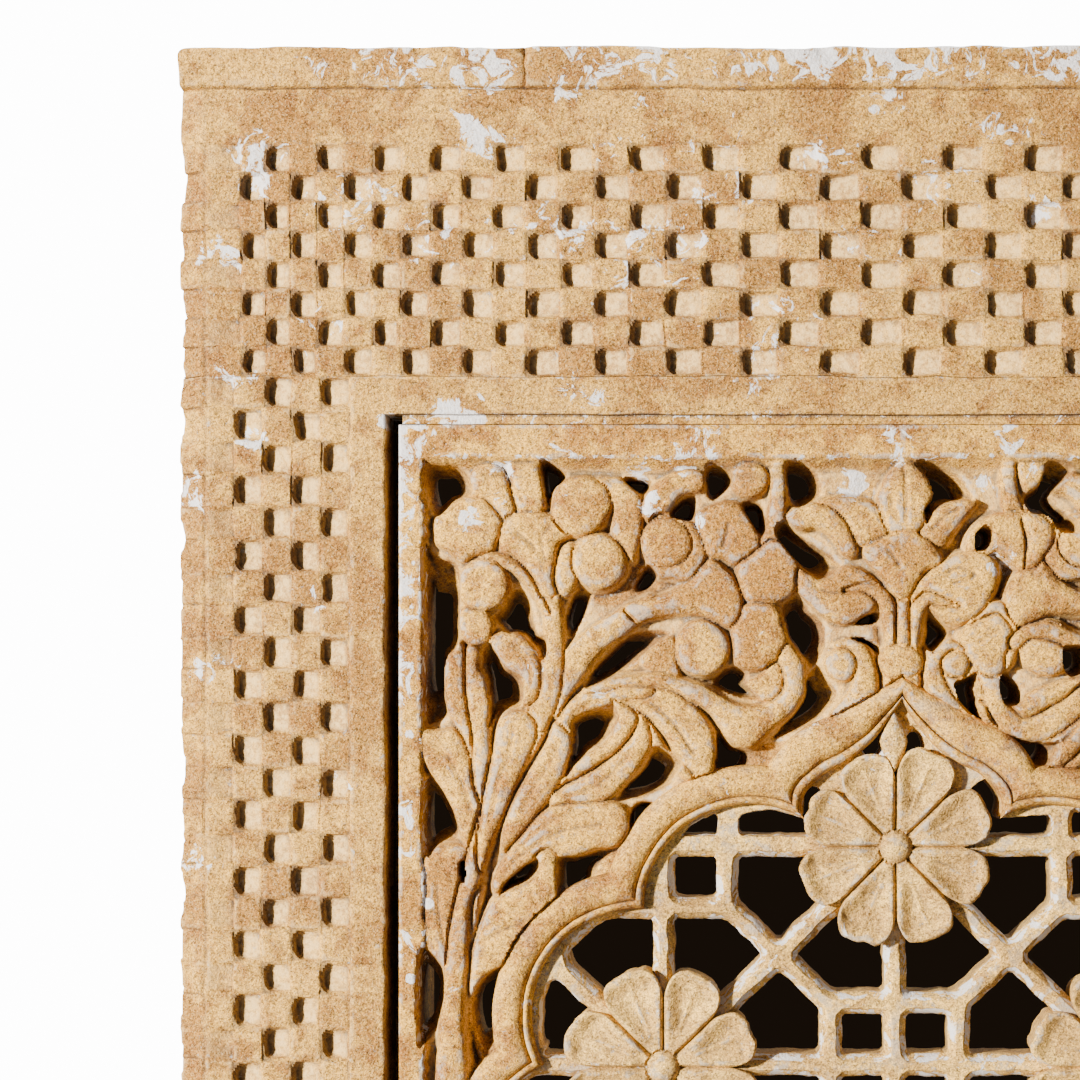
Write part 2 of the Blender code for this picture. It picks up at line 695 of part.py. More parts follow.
def build_moulding(relief):
    """The band round the arch: an inner fillet and a round, swept along the whole arch."""
    ground = SLAB_FRONT + GROUND_DEPTH
    back = SLAB_BACK
    crown = SLAB_FRONT + MOULDING_TOP
    fillet = SLAB_FRONT + FILLET_TOP
    profile = (
        (0, back),
        (0, fillet),
        (FILLET_SHARE, fillet),
        (FILLET_SHARE + ROUND_RISE, crown),
        (MOULDING_WIDTH - ROUND_RISE, crown),
        (MOULDING_WIDTH, ground + ROUND_FOOT),
        (MOULDING_WIDTH, back),
    )
    lines = [arch_line(offset) for offset, _ in profile]
    left = []
    for index in range(len(lines[0])):
        section = [(*on_grid(*line[index]), depth) for line, (_, depth) in zip(lines, profile)]
        left.append(section)
    right = [[(-x, z, depth) for x, z, depth in section] for section in left[1:]]
    loft("moulding", list(reversed(left)) + right, relief)


def build_jambs(relief):
    """A pilaster below each end of the arch, with a plain cap and base."""
    inner = -on_grid(*arch_line(0)[-1])[0]
    outer = SLAB_WIDTH / 2 - SLAB_MARGIN / 2
    spring = on_grid(*cusp(LOBES))[1]
    foot = SLAB_FOOT + FOOT_MARGIN / 2
    back = SLAB_BACK
    face = SLAB_FRONT + MOULDING_TOP
    for side in (-1, 1):
        x_range = (side * inner, side * outer) if side > 0 else (side * outer, side * inner)
        shaft = (x_range, (foot, spring), (face + JAMB_SINK, back))
        cap = (x_range, (spring - JAMB_CAP, spring + JAMB_CAP / 4), (face, back - JAMB_SINK))
        base = (x_range, (foot - JAMB_SINK, foot + JAMB_CAP), (face, back - JAMB_SINK))
        boxes(f"jamb_{side}", [shaft], relief)
        boxes(f"jamb_cap_{side}", [cap], relief)
        boxes(f"jamb_base_{side}", [base], relief)


def build_carving(relief):
    """Stems, leaves, flowers and discs of the left spandrel with their mirror image, and the finial."""
    ground = SLAB_FRONT + GROUND_DEPTH
    foot = ground + ROUND_FOOT
    crest = SLAB_FRONT + CARVING_TOP
    pieces = []
    for index, (points, half) in enumerate(STEMS):
        widths = [half] * len(points)
        pieces.append(ridge(f"stem_{index}", points, widths, crest + STEM_SINK, foot, relief))
    for index, (base, tip, half, bend) in enumerate(LEAVES):
        spine = leaf_spine(base, tip, bend, LEAF_STEPS)
        widths = leaf_widths(half)
        pieces.append(ridge(f"leaf_{index}", spine, widths, crest, foot, relief))
    for index, (centre, radius) in enumerate(DISCS):
        depths = (crest, foot)
        pieces.append(knob(f"disc_{index}", on_grid(*centre), radius * UNIT, depths, DISC_SIDES, relief))
    for piece in pieces:
        on_both_sides(piece, relief)
    for index, (base, tip, half, bend) in enumerate(FINIAL):
        spine = leaf_spine(base, tip, bend, LEAF_STEPS)
        widths = leaf_widths(half)
        piece = ridge(f"finial_{index}", spine, widths, crest, foot, relief)
        if max(abs(base[0] - GRID_AXIS), abs(tip[0] - GRID_AXIS)) > half:
            on_both_sides(piece, relief)


def build_slab(parts, cutters):
    """The inner stone, from its ground plate and everything that stands on it."""
    relief = bpy.data.collections.new("relief")
    cutters.children.link(relief)
    edge = rectangle(SLAB_WIDTH / 2, SLAB_FOOT, SLAB_TOP)
    opening = arch_outline(PLATE_SEAT, SLAB_FOOT + FOOT_MARGIN)
    left = [lens(*hole) for hole in HOLES]
    right = [mirrored(outline) for outline in left]
    ground = SLAB_FRONT + GROUND_DEPTH
    slab = prism("jali_slab", [edge, opening, *left, *right], ground, SLAB_BACK, parts, helper=False)
    inner = (SLAB_WIDTH / 2 - SLAB_MARGIN, SLAB_FOOT + FOOT_MARGIN, SLAB_TOP - SLAB_TOP_MARGIN)
    margin = (SLAB_FRONT, ground + ROUND_FOOT)
    boxes("margin", ring((SLAB_WIDTH / 2, SLAB_FOOT, SLAB_TOP), inner, margin), relief)
    build_lattice(relief, cutters)
    build_moulding(relief)
    build_jambs(relief)
    for column, row in ROSETTES:
        build_rosette(column, row, relief)
    build_carving(relief)
    combine(slab, "Relief", "UNION", relief)
    tidy(slab)
    return slab


def main():
    clear_scene()
    parts = new_collection("stone_jali_panel")
    cutters = new_collection("cutters")
    frame = build_frame(parts, cutters)
    slab = build_slab(parts, cutters)
    frame.data.materials.append(stone("border stone", BORDER_COLOUR))
    slab.data.materials.append(stone("slab stone", STONE_COLOUR))


main()
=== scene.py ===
import logging
import math
from dataclasses import dataclass, field
from enum import Enum
from typing import Callable, ClassVar, Sequence

import bpy
import numpy as np
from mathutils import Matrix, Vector
from mathutils.geometry import delaunay_2d_cdt


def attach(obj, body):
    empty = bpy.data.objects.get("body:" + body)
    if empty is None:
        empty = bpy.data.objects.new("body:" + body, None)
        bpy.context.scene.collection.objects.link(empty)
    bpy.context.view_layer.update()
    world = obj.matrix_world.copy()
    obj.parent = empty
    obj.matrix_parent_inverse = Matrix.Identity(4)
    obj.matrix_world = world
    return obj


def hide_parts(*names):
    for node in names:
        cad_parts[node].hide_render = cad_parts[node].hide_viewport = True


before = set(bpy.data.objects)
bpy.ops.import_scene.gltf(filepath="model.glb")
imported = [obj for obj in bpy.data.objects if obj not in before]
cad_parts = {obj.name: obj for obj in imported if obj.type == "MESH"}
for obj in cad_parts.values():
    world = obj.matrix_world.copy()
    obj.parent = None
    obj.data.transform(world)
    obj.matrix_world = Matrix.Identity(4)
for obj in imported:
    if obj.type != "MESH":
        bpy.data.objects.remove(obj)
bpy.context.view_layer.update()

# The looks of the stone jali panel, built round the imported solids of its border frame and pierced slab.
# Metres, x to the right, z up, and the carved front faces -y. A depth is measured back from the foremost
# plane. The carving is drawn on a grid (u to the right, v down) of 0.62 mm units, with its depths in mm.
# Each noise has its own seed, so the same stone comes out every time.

Array = np.ndarray
Points = Sequence[tuple]
Socket = bpy.types.NodeSocket
log = logging.getLogger("jali")

# The panel's sizes, as its solids have them
WIDTH, HEIGHT, THICKNESS = 0.900, 1.005, 0.100
HALF = WIDTH / 2
EDGE_STRIP, SIDE_COLUMN, SIDE_COLUMNS = 0.0167, 0.0180, 5
SIDE_FILLET, SIDE_SLOT, SIDE_ROW = 0.0217, 0.0087, 0.0203
BED_JOINT, CLEARANCE = 0.0059, 0.0003
TOP_STRIP, PLAIN_BAND, TOP_ROW, TOP_ROWS, TOP_FILLET = 0.0254, 0.0350, 0.0181, 8, 0.0240
EDGE_CELL, NARROW_CELL, CELLS_ACROSS = 0.0223, 0.0152, 42
PEDESTAL, SILL, SILL_FILLET, PLINTH = 0.254, 0.1153, 0.0223, 0.078
ROWS_TOP = HEIGHT - TOP_STRIP - PLAIN_BAND
ROWS_FOOT = ROWS_TOP - TOP_ROWS * TOP_ROW
OPENING_HALF = HALF - EDGE_STRIP - SIDE_COLUMNS * SIDE_COLUMN - SIDE_FILLET
OPENING_TOP, OPENING_FOOT = ROWS_FOOT - TOP_FILLET, SILL + SILL_FILLET
SLAB_HALF, SLAB_TOP, SLAB_FOOT = OPENING_HALF - SIDE_SLOT, OPENING_TOP - BED_JOINT, OPENING_FOOT + BED_JOINT
SLAB_BACK, SLAB_MARGIN, FOOT_MARGIN = 0.0595, 0.0149, 0.0205
LEDGE, SIGHT = SLAB_BACK + CLEARANCE, 0.012
LATTICE_FRONT, LATTICE_BACK = 0.0165, 0.0505
LATTICE_PITCH = (0.23186 * 2 * SLAB_HALF, 0.21967 * (SLAB_TOP - SLAB_FOOT))
LATTICE_SHIFT, LATTICE_TOP_NODE = -0.00591 * 2 * SLAB_HALF, 0.41970 * (SLAB_TOP - SLAB_FOOT)
BLOCK = (0.5555 * LATTICE_PITCH[0], 0.5676 * LATTICE_PITCH[1])
BAR_WIDTH = 0.0136

# The carving grid: its axis and top, the slab's half width and height on it, and its units in metres
AXIS, GRID_TOP, GRID_HALF, GRID_TALL = 903.0, 424.0, 505.0, 1011.0
UNIT, RISE = SLAB_HALF / GRID_HALF, (SLAB_TOP - SLAB_FOOT) / GRID_TALL
GRID_LEFT, GRID_FOOT = AXIS - GRID_HALF, GRID_TOP + GRID_TALL
CARVED_FOOT, CARVED_HALF = GRID_FOOT - FOOT_MARGIN / RISE, GRID_HALF - SLAB_MARGIN / UNIT
SEEN_TO = 1086.0  # u from which the right side follows the left alone
MM, FAR_OFF, WORD = 0.001, 99.0, 0xFFFFFFFF
SHARPEST = 110.0  # bend, per metre, at which an edge or a hollow counts in full


def to_world(u: Array, v: Array) -> tuple:
    """Turn points of the carving grid into world x and z.

    Args:
        u: units to the right; 903 is the panel's axis.
        v: units down; 424 is the slab's top.

    Returns:
        x = (u - 903) units, z = slab top less (v - 424) units.
    """
    return (np.asarray(u) - AXIS) * UNIT, SLAB_TOP - (np.asarray(v) - GRID_TOP) * RISE


def to_grid(x: Array, z: Array) -> tuple:
    """Turn world x and z into (u, v) of the carving grid, the reverse of to_world."""
    return np.asarray(x) / UNIT + AXIS, (SLAB_TOP - np.asarray(z)) / RISE + GRID_TOP


def smooth(value: Array, low: float, high: float) -> Array:
    """Rise from 0 at low to 1 at high along 3t^2 - 2t^3, t being the share of the way."""
    t = np.clip((np.asarray(value, float) - low) / (high - low), 0, 1)
    return t * t * (3 - 2 * t)


def bell(gap: Array, width: float) -> Array:
    """A bell curve: 1 at a gap of 0, exp(-(gap / width)^2) beyond."""
    return np.exp(-(gap / width) ** 2)


def spots(x: Array, z: Array, text: str, stretch: float, core: float) -> Array:
    """Strength of round spots at points, each read from text as x, z, radius and amount.

    Args:
        x: first coordinate of the points.
        z: second coordinate of the points.
        text: the spots.
        stretch: how much wider than tall they are.
        core: share of the radius inside which a spot has its full amount.

    Returns:
        The greatest strength at each point.
    """
    value = np.zeros(x.shape)
    for px, pz, radius, amount in at(text):
        gap = np.hypot((x - px) / stretch, z - pz)
        value = np.maximum(value, amount * smooth(gap, radius, radius * core))
    return value


def shoulder(share: Array) -> Array:
    """A quarter ellipse: 1 at a share of 0, falling to 0 at a share of 1 and beyond."""
    t = np.clip(share, 0, 1)
    return 1 - np.sqrt(np.clip(1 - (1 - t) ** 2, 0, 1))


def noise(x: Array, z: Array, size: float, seed: int, octaves: int = 1) -> Array:
    """Smooth noise from -1 to 1: hashed values on a square net, blended by 3t^2 - 2t^3.

    Args:
        x: first coordinate of each point.
        z: second coordinate of each point.
        size: side of the net's squares.
        seed: picks the values.
        octaves: how many nets, each half as large and half as strong as the last.

    Returns:
        The noise at each point.
    """
    total, weight = np.zeros(np.broadcast(x, z).shape), 0.0
    for octave in range(octaves):
        gx, gz = np.asarray(x) / size * 2 ** octave, np.asarray(z) / size * 2 ** octave
        ix, iz = np.floor(gx).astype(np.int64), np.floor(gz).astype(np.int64)
        fx, fz = gx - ix, gz - iz
        fx, fz = fx * fx * (3 - 2 * fx), fz * fz * (3 - 2 * fz)
        corners = []
        for dx, dz in ((0, 0), (1, 0), (0, 1), (1, 1)):
            h = ((ix + dx) * 73856093 ^ (iz + dz) * 19349663 ^ (seed + octave) * 83492791) & WORD
            for shift, factor in ((13, 1274126177), (15, 2246822519)):
                h = ((h ^ (h >> shift)) * factor) & WORD
            corners.append(((h ^ (h >> 16)) & 0xFFFF) / 32767.5 - 1)
        low = corners[0] * (1 - fx) + corners[1] * fx
        high = corners[2] * (1 - fx) + corners[3] * fx
        total = total + (low * (1 - fz) + high * fz) * 0.5 ** octave
        weight += 0.5 ** octave
    return total / weight


def smooth_line(points: Points, steps: int = 4, closed: bool = False) -> Array:
    """Carry a Catmull-Rom curve through points of any dimension.

    Args:
        points: the points that it passes through.
        steps: pieces between two of them.
        closed: whether it returns to its start.

    Returns:
        The curve's points, one in a row.
    """
    p = np.array(points, float)
    if not closed:
        p = np.vstack([2 * p[0] - p[1], p, 2 * p[-1] - p[-2]])
    a, b, c, d = (np.roll(p, shift, 0)[:, None, :] for shift in (1, 0, -1, -2))
    t = (np.arange(steps) / steps)[None, :, None]
    bend, twist = 2 * a - 5 * b + 4 * c - d, 3 * b - a - 3 * c + d
    curve = 0.5 * (2 * b + (c - a) * t + bend * t ** 2 + twist * t ** 3)
    if closed:
        return curve.reshape(-1, p.shape[1])
    return np.vstack([curve[1:-2].reshape(-1, p.shape[1]), p[-2]])


def loop_distance(loop: Array, u: Array, v: Array) -> Array:
    """Distance from each point to a closed loop, positive inside it.

    Args:
        loop: the loop's corners, one (u, v) in a row.
        u: first coordinate of the points.
        v: second coordinate of the points.

    Returns:
        The least distance to any side, its sign by the sides that a ray to the right crosses.
    """
    best, inside = np.full(u.shape, np.inf), np.zeros(u.shape, bool)
    for (au, av), (bu, bv) in zip(loop, np.roll(loop, -1, 0)):
        eu, ev = bu - au, bv - av
        length = max(eu * eu + ev * ev, 1e-12)
        t = np.clip(((u - au) * eu + (v - av) * ev) / length, 0, 1)
        best = np.minimum(best, (u - au - t * eu) ** 2 + (v - av - t * ev) ** 2)
        if ev:
            inside ^= ((av > v) != (bv > v)) & (u < au + (v - av) * eu / ev)
    return np.where(inside, 1, -1) * np.sqrt(best)


def line_distance(line: Array, u: Array, v: Array) -> tuple:
    """Distance from each point to an open line, and how far along it that is.

    Args:
        line: the line's points, (u, v) and any further values in a row.
        u: first coordinate of the points.
        v: second coordinate of the points.

    Returns:
        The distance, the length along the line, and the line's further values there.
    """
    best = np.full(u.shape, np.inf)
    along = np.zeros(u.shape)
    extra = np.zeros(u.shape + (line.shape[1] - 2,))
    run = 0.0
    for start, end in zip(line, line[1:]):
        (eu, ev), length = (end - start)[:2], math.dist(start[:2], end[:2])
        t = np.clip(((u - start[0]) * eu + (v - start[1]) * ev) / max(length ** 2, 1e-12), 0, 1)
        gap = np.hypot(u - start[0] - t * eu, v - start[1] - t * ev)
        nearer = gap < best
        best = np.where(nearer, gap, best)
        along = np.where(nearer, run + t * length, along)
        extra[nearer] = start[2:] + t[nearer][:, None] * (end - start)[2:]
        run += length
    return best, along, extra


@dataclass(frozen=True)
class Body:
    """A carved form inside a closed outline, flat in its middle with rounded shoulders.

    The shoulders are quarter ellipses over the distance from the outline: a narrow one that falls by
    `fall`, and a broad one that falls by `dome`. Outside the outline a flank drops to what lies below,
    and a form that is already there is cut down to it.
    """

    outline: tuple
    crest: float = 2.8
    fall: float = 3.4
    dome: float = 1.6
    width: float = 8.0
    mirrored: bool = True

    def loop(self) -> Array:
        """The outline as a smooth closed curve."""
        return smooth_line(self.outline, 4, closed=True)

    def reach(self) -> float:
        """How far outside the outline the form is felt, in units."""
        return 9.0

    def apply(self, u: Array, v: Array, depth: Array) -> Array:
        """Lay the form over the depths that are there.

        Args:
            u: first grid coordinate of the points.
            v: second grid coordinate of the points.
            depth: the depths so far, in mm.

        Returns:
            The new depths.
        """
        return lay(depth, loop_distance(self.loop(), u, v), self)


def lay(depth: Array, inward: Array, form: object) -> Array:
    """Lay a rounded form over depths, from the distance inside its outline (negative outside)."""
    foot = form.crest + form.fall + form.dome
    top = form.crest + form.fall * shoulder(inward / form.width)
    top = top + form.dome * shoulder(inward / (2.6 * form.width))
    outside = np.abs(inward)
    flank = np.minimum(np.maximum(depth, foot + 0.6 - 1.5 * outside), foot + 1.8 * outside)
    return np.where(inward >= 0, top, flank)


@dataclass(frozen=True)
class Stem:
    """A rounded stem along a line whose points are (u, v, half width)."""

    line: tuple
    crest: float = 3.0
    fall: float = 3.4
    dome: float = 1.2
    width: float = 8.0
    mirrored: bool = True

    @property
    def outline(self) -> tuple:
        """The line's own points, for its place."""
        return tuple(point[:2] for point in self.line)

    def reach(self) -> float:
        """How far outside its points the stem is felt, in units."""
        return 9.0 + max(point[2] for point in self.line)

    def apply(self, u: Array, v: Array, depth: Array) -> Array:
        """Lay the stem over the depths; its outline lies at its half width from the line."""
        gap, _, half = line_distance(smooth_line(self.line, 4), u, v)
        return lay(depth, half[:, 0] - gap, self)


@dataclass(frozen=True)
class Crease:
    """A bell-shaped groove along a line, faded at both ends, or a ridge if its depth is negative."""

    line: tuple
    depth: float = 1.8
    width: float = 2.4
    beads: float = 0.0
    mirrored: bool = True

    @property
    def outline(self) -> tuple:
        """The line's own points, for its place."""
        return self.line

    def reach(self) -> float:
        """How far from its line the cut is felt, in units."""
        return 4 * self.width

    def apply(self, u: Array, v: Array, depth: Array) -> Array:
        """Sink the groove by its depth times the bell of the gap, with a row of beads on its bed."""
        line = smooth_line(self.line, 4)
        gap, along, _ = line_distance(line, u, v)
        length = sum(math.dist(a, b) for a, b in zip(line, line[1:]))
        ends = smooth(along, -1, 6) * smooth(length - along, -1, 6)
        cut = self.depth * ends * bell(gap, self.width)
        if self.beads:
            bead = np.sqrt(np.abs(np.sin(np.pi * along / self.beads))) * bell(gap, 0.55 * self.width)
            cut = cut - 0.85 * self.depth * ends * bead
        return depth + cut


def disc(circle: Points, **profile: float) -> Body:
    """A round body from its one (u, v, radius), its outline a little uneven, as it was cut by hand."""
    (u, v, radius), = circle
    turns = np.arange(12) * math.pi / 6
    uneven = radius * (1 + 0.025 * np.sin(2 * turns + u) + 0.02 * np.sin(3 * turns + v))
    return Body(tuple(zip(u + uneven * np.cos(turns), v + uneven * np.sin(turns))), **profile)


def at(text: str) -> tuple:
    """Read points from text: a point's numbers joined by commas, the points parted by blanks."""
    return tuple(tuple(map(float, point.split(","))) for point in text.split())


def loops(text: str) -> tuple:
    """Read closed outlines from text, parted by strokes."""
    return tuple(at(loop) for loop in text.split("/"))


def forms(text: str) -> tuple:
    """Read carved forms from text.

    Args:
        text: forms parted by strokes, each its kind, its profile's values, a colon and its points;
            `alone` marks one that has no twin on the right.

    Returns:
        The forms in their order.
    """
    made = []
    for entry in text.split("/"):
        head, places = entry.split(":")
        kind, *given = head.split()
        profile = {key: float(value) for key, value in (word.split("=") for word in given if word != "alone")}
        maker = {"body": Body, "stem": Stem, "crease": Crease, "disc": disc}[kind]
        made.append(maker(at(places), mirrored="alone" not in given, **profile))
    return tuple(made)


def right_place(points: Array) -> Array:
    """Where the left spandrel's points lie on the right: mirrored, with the flower set 55 units nearer."""
    p = np.array(points, float)
    p[:, 0] = 2 * AXIS - p[:, 0] - 55 * smooth(p[:, 0], 470, 690)
    return p


LEFT_FORMS = forms("""
body crest=3.4 width=10: 418,942 420,905 420,863 430,850 448,846 466,850 472,872 466,902 460,930 453,955
  446,972 438,964 427,952 /
crease depth=1.4: 436,882 437,906 442,935 446,960 /
body width=9: 416,745 420,728 436,731 451,729 461,741 472,765 482,795 486,815 476,838 466,850 456,832
  451,816 443,794 435,781 424,765 /
crease depth=1.0: 428,742 446,757 462,785 470,815 /
stem crest=3.0 width=9: 650,603,9 620,622,12 594,641,13 573,664,15 554,690,16 536,723,15 520,754,14.5
  505,782,13 492,809,12 479,845,11 470,880,11 463,920,11.5 456,960,11.5 453,1000,12 451,1040,13 450,1080,15
  452,1120,18 456,1165,22 460,1205,26 462,1235,30 /
stem crest=3.2: 548,590,9 553,625,9.5 553,655,11 548,690,13 538,720,12 /
crease depth=6.0 width=3.2: 556,716 552,724 536,754 518,783 503,810 494,837 486,863 479,884 472,902 470,925
  468,950 466,985 465,1012 467,1036 475,1070 /
stem crest=3.6: 490,1075,10 483,1120,11 478,1170,12 480,1235,16 /
body width=6: 458,640 446,655 444,678 446,700 449,716 461,738 470,759 473,782 480,805 477,760 471,720
  466,690 464,660 /
body width=7: 464,652 470,645 478,652 478,668 486,680 492,700 488,733 490,760 489,790 480,800 473,782
  471,740 467,700 /
body crest=3.0 width=9: 492,748 496,728 504,715 516,710 529,714 537,728 532,750 516,786 499,822 486,852
  478,872 475,842 482,800 488,772 /
crease depth=1.0 width=3: 512,722 510,748 498,782 486,826 /
body width=9: 486,638 506,633 521,636 534,648 541,666 539,693 528,705 519,700 524,680 513,671 503,663
  494,650 /
crease depth=0.9: 506,640 522,652 530,668 531,688 /
body width=6: 457,611 475,605 492,621 490,639 475,645 462,639 /
body width=7: 470,562 486,552 499,553 511,557 522,567 531,580 541,596 549,613 543,613 535,602 523,584
  511,572 496,566 480,568 /
disc crest=2.2 width=9: 482,584,26 /
body width=10: 433,519 441,513 455,501 468,498 486,500 498,513 502,523 495,541 490,549 472,555 460,560
  445,549 434,541 /
crease depth=0.8 width=3: 440,530 458,524 478,527 494,533 /
body width=8 crest=3.2: 468,478 474,466 488,461 500,466 508,478 514,494 514,512 504,521 498,513 486,500
  470,494 /
body width=8 crest=3.4: 506,464 522,460 538,463 545,480 544,506 532,511 518,513 512,494 /
crease depth=1.6: 505,466 513,486 523,504 /
body width=9: 502,523 511,515 531,511 549,513 564,521 572,531 564,538 557,545 554,564 555,594 543,598
  537,590 531,576 521,564 510,555 498,548 /
crease depth=1.6: 513,530 526,540 538,552 /
crease depth=1.4: 554,520 547,528 540,540 545,566 /
body width=8 crest=4.4: 594,478 610,476 622,478 639,494 642,523 638,548 632,562 622,546 612,532 612,505 /
disc crest=2.2 width=10: 581,505,30 /
body width=6 crest=4: 555,564 562,546 573,543 578,560 574,585 566,596 558,594 553,580 /
disc crest=2.2 width=10: 598,561,27 /
body width=8: 641,511 647,490 663,478 682,470 700,471 707,481 702,490 690,492 680,497 669,511 663,522
  650,522 /
crease depth=1.0: 655,512 662,498 678,485 696,480 /
stem crest=3.4 width=7 alone: 779,456,8 779,490,8 778,515,9 772,545,12 /
disc crest=3.4 width=9 alone: 750,479,19 /
body width=7 crest=4.2: 664,513 688,518 703,541 705,557 692,578 672,578 650,570 648,524 /
disc crest=2.2 width=10: 666,542,25 /
body width=9 crest=2.4: 696,520 702,511 722,503 741,506 757,527 761,541 755,551 736,563 722,558 708,556
  703,543 /
crease depth=1.6: 729,518 726,534 720,550 /
body width=9 crest=2.2 alone: 737,566 748,556 759,548 773,540 790,548 800,568 799,586 788,597 773,603
  749,600 741,584 /
body width=8 crest=2.6: 732,622 738,610 748,603 763,603 776,607 784,625 788,641 782,656 767,668 748,669
  736,663 732,645 /
body width=9 crest=2.6: 624,606 645,598 667,593 688,580 702,565 710,559 724,567 735,578 743,596 740,615
  729,626 714,620 698,614 673,613 653,617 636,620 /
crease depth=1.7 width=2.6 beads=6: 644,603 667,596 688,583 701,569 706,561 /
crease depth=1.7 width=2.6 beads=6: 650,614 673,611 698,612 714,618 727,625 /
body width=6 crest=7.5 fall=1.5: 655,640 674,637 676,660 680,680 664,676 648,669 642,660 /
disc crest=2.4 width=10: 702,648,27 /
body width=9: 606,696 628,687 650,686 672,691 692,703 706,721 714,741 715,760 712,784 702,784 690,772
  676,757 664,738 648,718 628,706 /
crease depth=2.2: 610,696 643,701 666,717 682,738 696,758 /
body width=6 crest=3.2: 612,701 630,707 645,719 658,735 668,752 683,765 695,778 688,782 671,768 654,752
  647,736 636,722 622,712 /
body width=8 crest=3.0: 556,745 556,722 566,706 581,692 604,680 640,676 655,684 650,697 630,700 604,706
  580,714 572,724 573,745 564,776 556,790 550,775 /
crease depth=1.0 width=3: 566,742 568,722 585,705 612,694 /
body width=7: 612,700 628,707 638,717 635,729 620,748 600,762 580,775 566,781 560,784 576,762 596,749
  611,738 615,725 617,712 /
body width=8: 640,715 649,728 651,744 645,756 636,769 623,784 610,797 590,803 566,809 550,808 552,796
  566,787 585,775 604,763 622,749 636,731 /
crease depth=1.2 width=3: 566,796 590,788 612,772 632,750 /
body width=10 crest=2.6: 583,690 600,681 620,678 640,675 660,673 686,681 713,691 733,702 759,706 775,699
  784,683 780,668 780,656 790,645 802,659 806,673 804,693 794,711 771,731 753,747 736,747 724,737 713,717
  702,708 691,703 672,692 648,687 620,687 600,692 /
crease depth=-0.8 width=6: 640,680 672,684 704,698 740,714 768,712 /
body width=5 crest=6.5 fall=1.5: 744,684 760,675 776,663 783,672 784,686 776,698 762,700 750,693 /
body width=9: 554,722 566,730 572,742 568,762 562,778 548,801 530,822 512,842 500,852 503,822 518,792
  536,762 548,738 /
crease depth=1.0 width=3: 558,736 552,760 536,786 516,818 /
body width=11 crest=2.6: 556,807 584,803 609,801 622,807 628,816 626,832 617,846 596,849 575,856 556,858
  536,865 516,876 496,894 492,880 502,860 514,843 530,824 544,812 /
crease depth=1.4 width=3: 604,822 570,830 540,842 514,860 498,882 /
crease depth=1.0 width=2.4: 588,808 560,818 534,832 518,848 /
body width=9: 534,857 546,850 556,856 557,875 557,909 546,928 529,943 513,958 503,966 482,980 470,996
  469,970 472,950 480,928 490,905 507,892 520,887 530,881 535,872 /
crease depth=1.3 width=2.6: 476,945 505,930 529,921 545,909 551,890
""")

FINIAL_FORMS = forms("""
body crest=4.4 width=7: 818,500 845,495 873,502 886,517 889,531 872,542 857,545 849,527 835,511 /
body crest=3.0 width=6: 787,515 800,506 816,503 835,510 849,527 857,549 852,557 841,552 830,536 816,528
  802,530 790,522 /
body crest=3.4 width=7: 921,531 929,518 941,504 958,498 974,498 977,503 963,518 953,533 944,545 930,541 /
crease depth=1.4: 930,532 944,516 962,505 /
body crest=2.4 width=10: 903,455 913,461 926,474 934,491 933,508 919,531 905,535 889,531 881,514 878,496
  886,479 895,463 /
crease depth=1.6: 904,462 906,490 905,524 /
crease depth=1.4 width=4: 890,492 892,508 900,522 /
body crest=2.6 width=9: 799,570 811,574 822,579 835,570 851,566 869,573 883,586 881,600 865,615 849,623
  829,618 812,604 799,592 /
crease depth=1.6: 812,584 830,592 850,592 872,590 /
crease depth=1.0: 836,574 852,578 866,584 /
body crest=2.4 width=9: 912,598 917,587 925,576 941,563 961,552 982,551 996,562 999,578 995,594 985,610
  969,621 956,623 944,620 936,613 928,606 917,612 /
crease depth=1.8: 916,590 928,588 942,597 956,606 967,612 /
crease depth=-0.9 width=2.4: 955,587 970,588 984,584 990,572 /
crease depth=1.6: 944,573 960,566 974,573 970,582 /
crease depth=1.2 width=3.4: 950,583 966,580 980,572 /
stem crest=4.4 width=8: 903,640,15 902,660,17 902,680,18 /
stem crest=3.0 width=6: 846,590,1 864,586,4 880,591,6.5 889,606,7.5 892,626,7.5 896,650,8 /
stem crest=3.0 width=6: 960,606,1 942,600,4 928,598,6.5 918,609,7 914,628,7 910,650,8 /
stem crest=3.4 width=6: 903,570,9 904,596,6.5 904,622,6.5 903,652,7 /
body crest=2.0 width=10: 863,552 868,544 890,533 913,532 923,537 936,546 943,559 936,566 926,571 918,582
  911,594 902,598 893,592 885,580 873,566 /
crease depth=1.8: 884,546 893,556 902,569 /
body crest=2.4 width=9: 880,662 886,650 902,646 918,650 924,662 918,674 902,679 886,674 /
stem crest=3.4 width=8: 838,645,2.5 850,644,5 860,651,8 865,664,10 866,680,12 860,700,14 846,722,16 /
disc crest=2.2 width=8: 842,664,15.5 /
stem crest=3.4 width=8: 964,648,2.5 952,644,5 941,650,8 935,663,9 935,680,10 944,702,12 960,722,14 /
disc crest=2.4 width=8: 957,664,14.0
""")

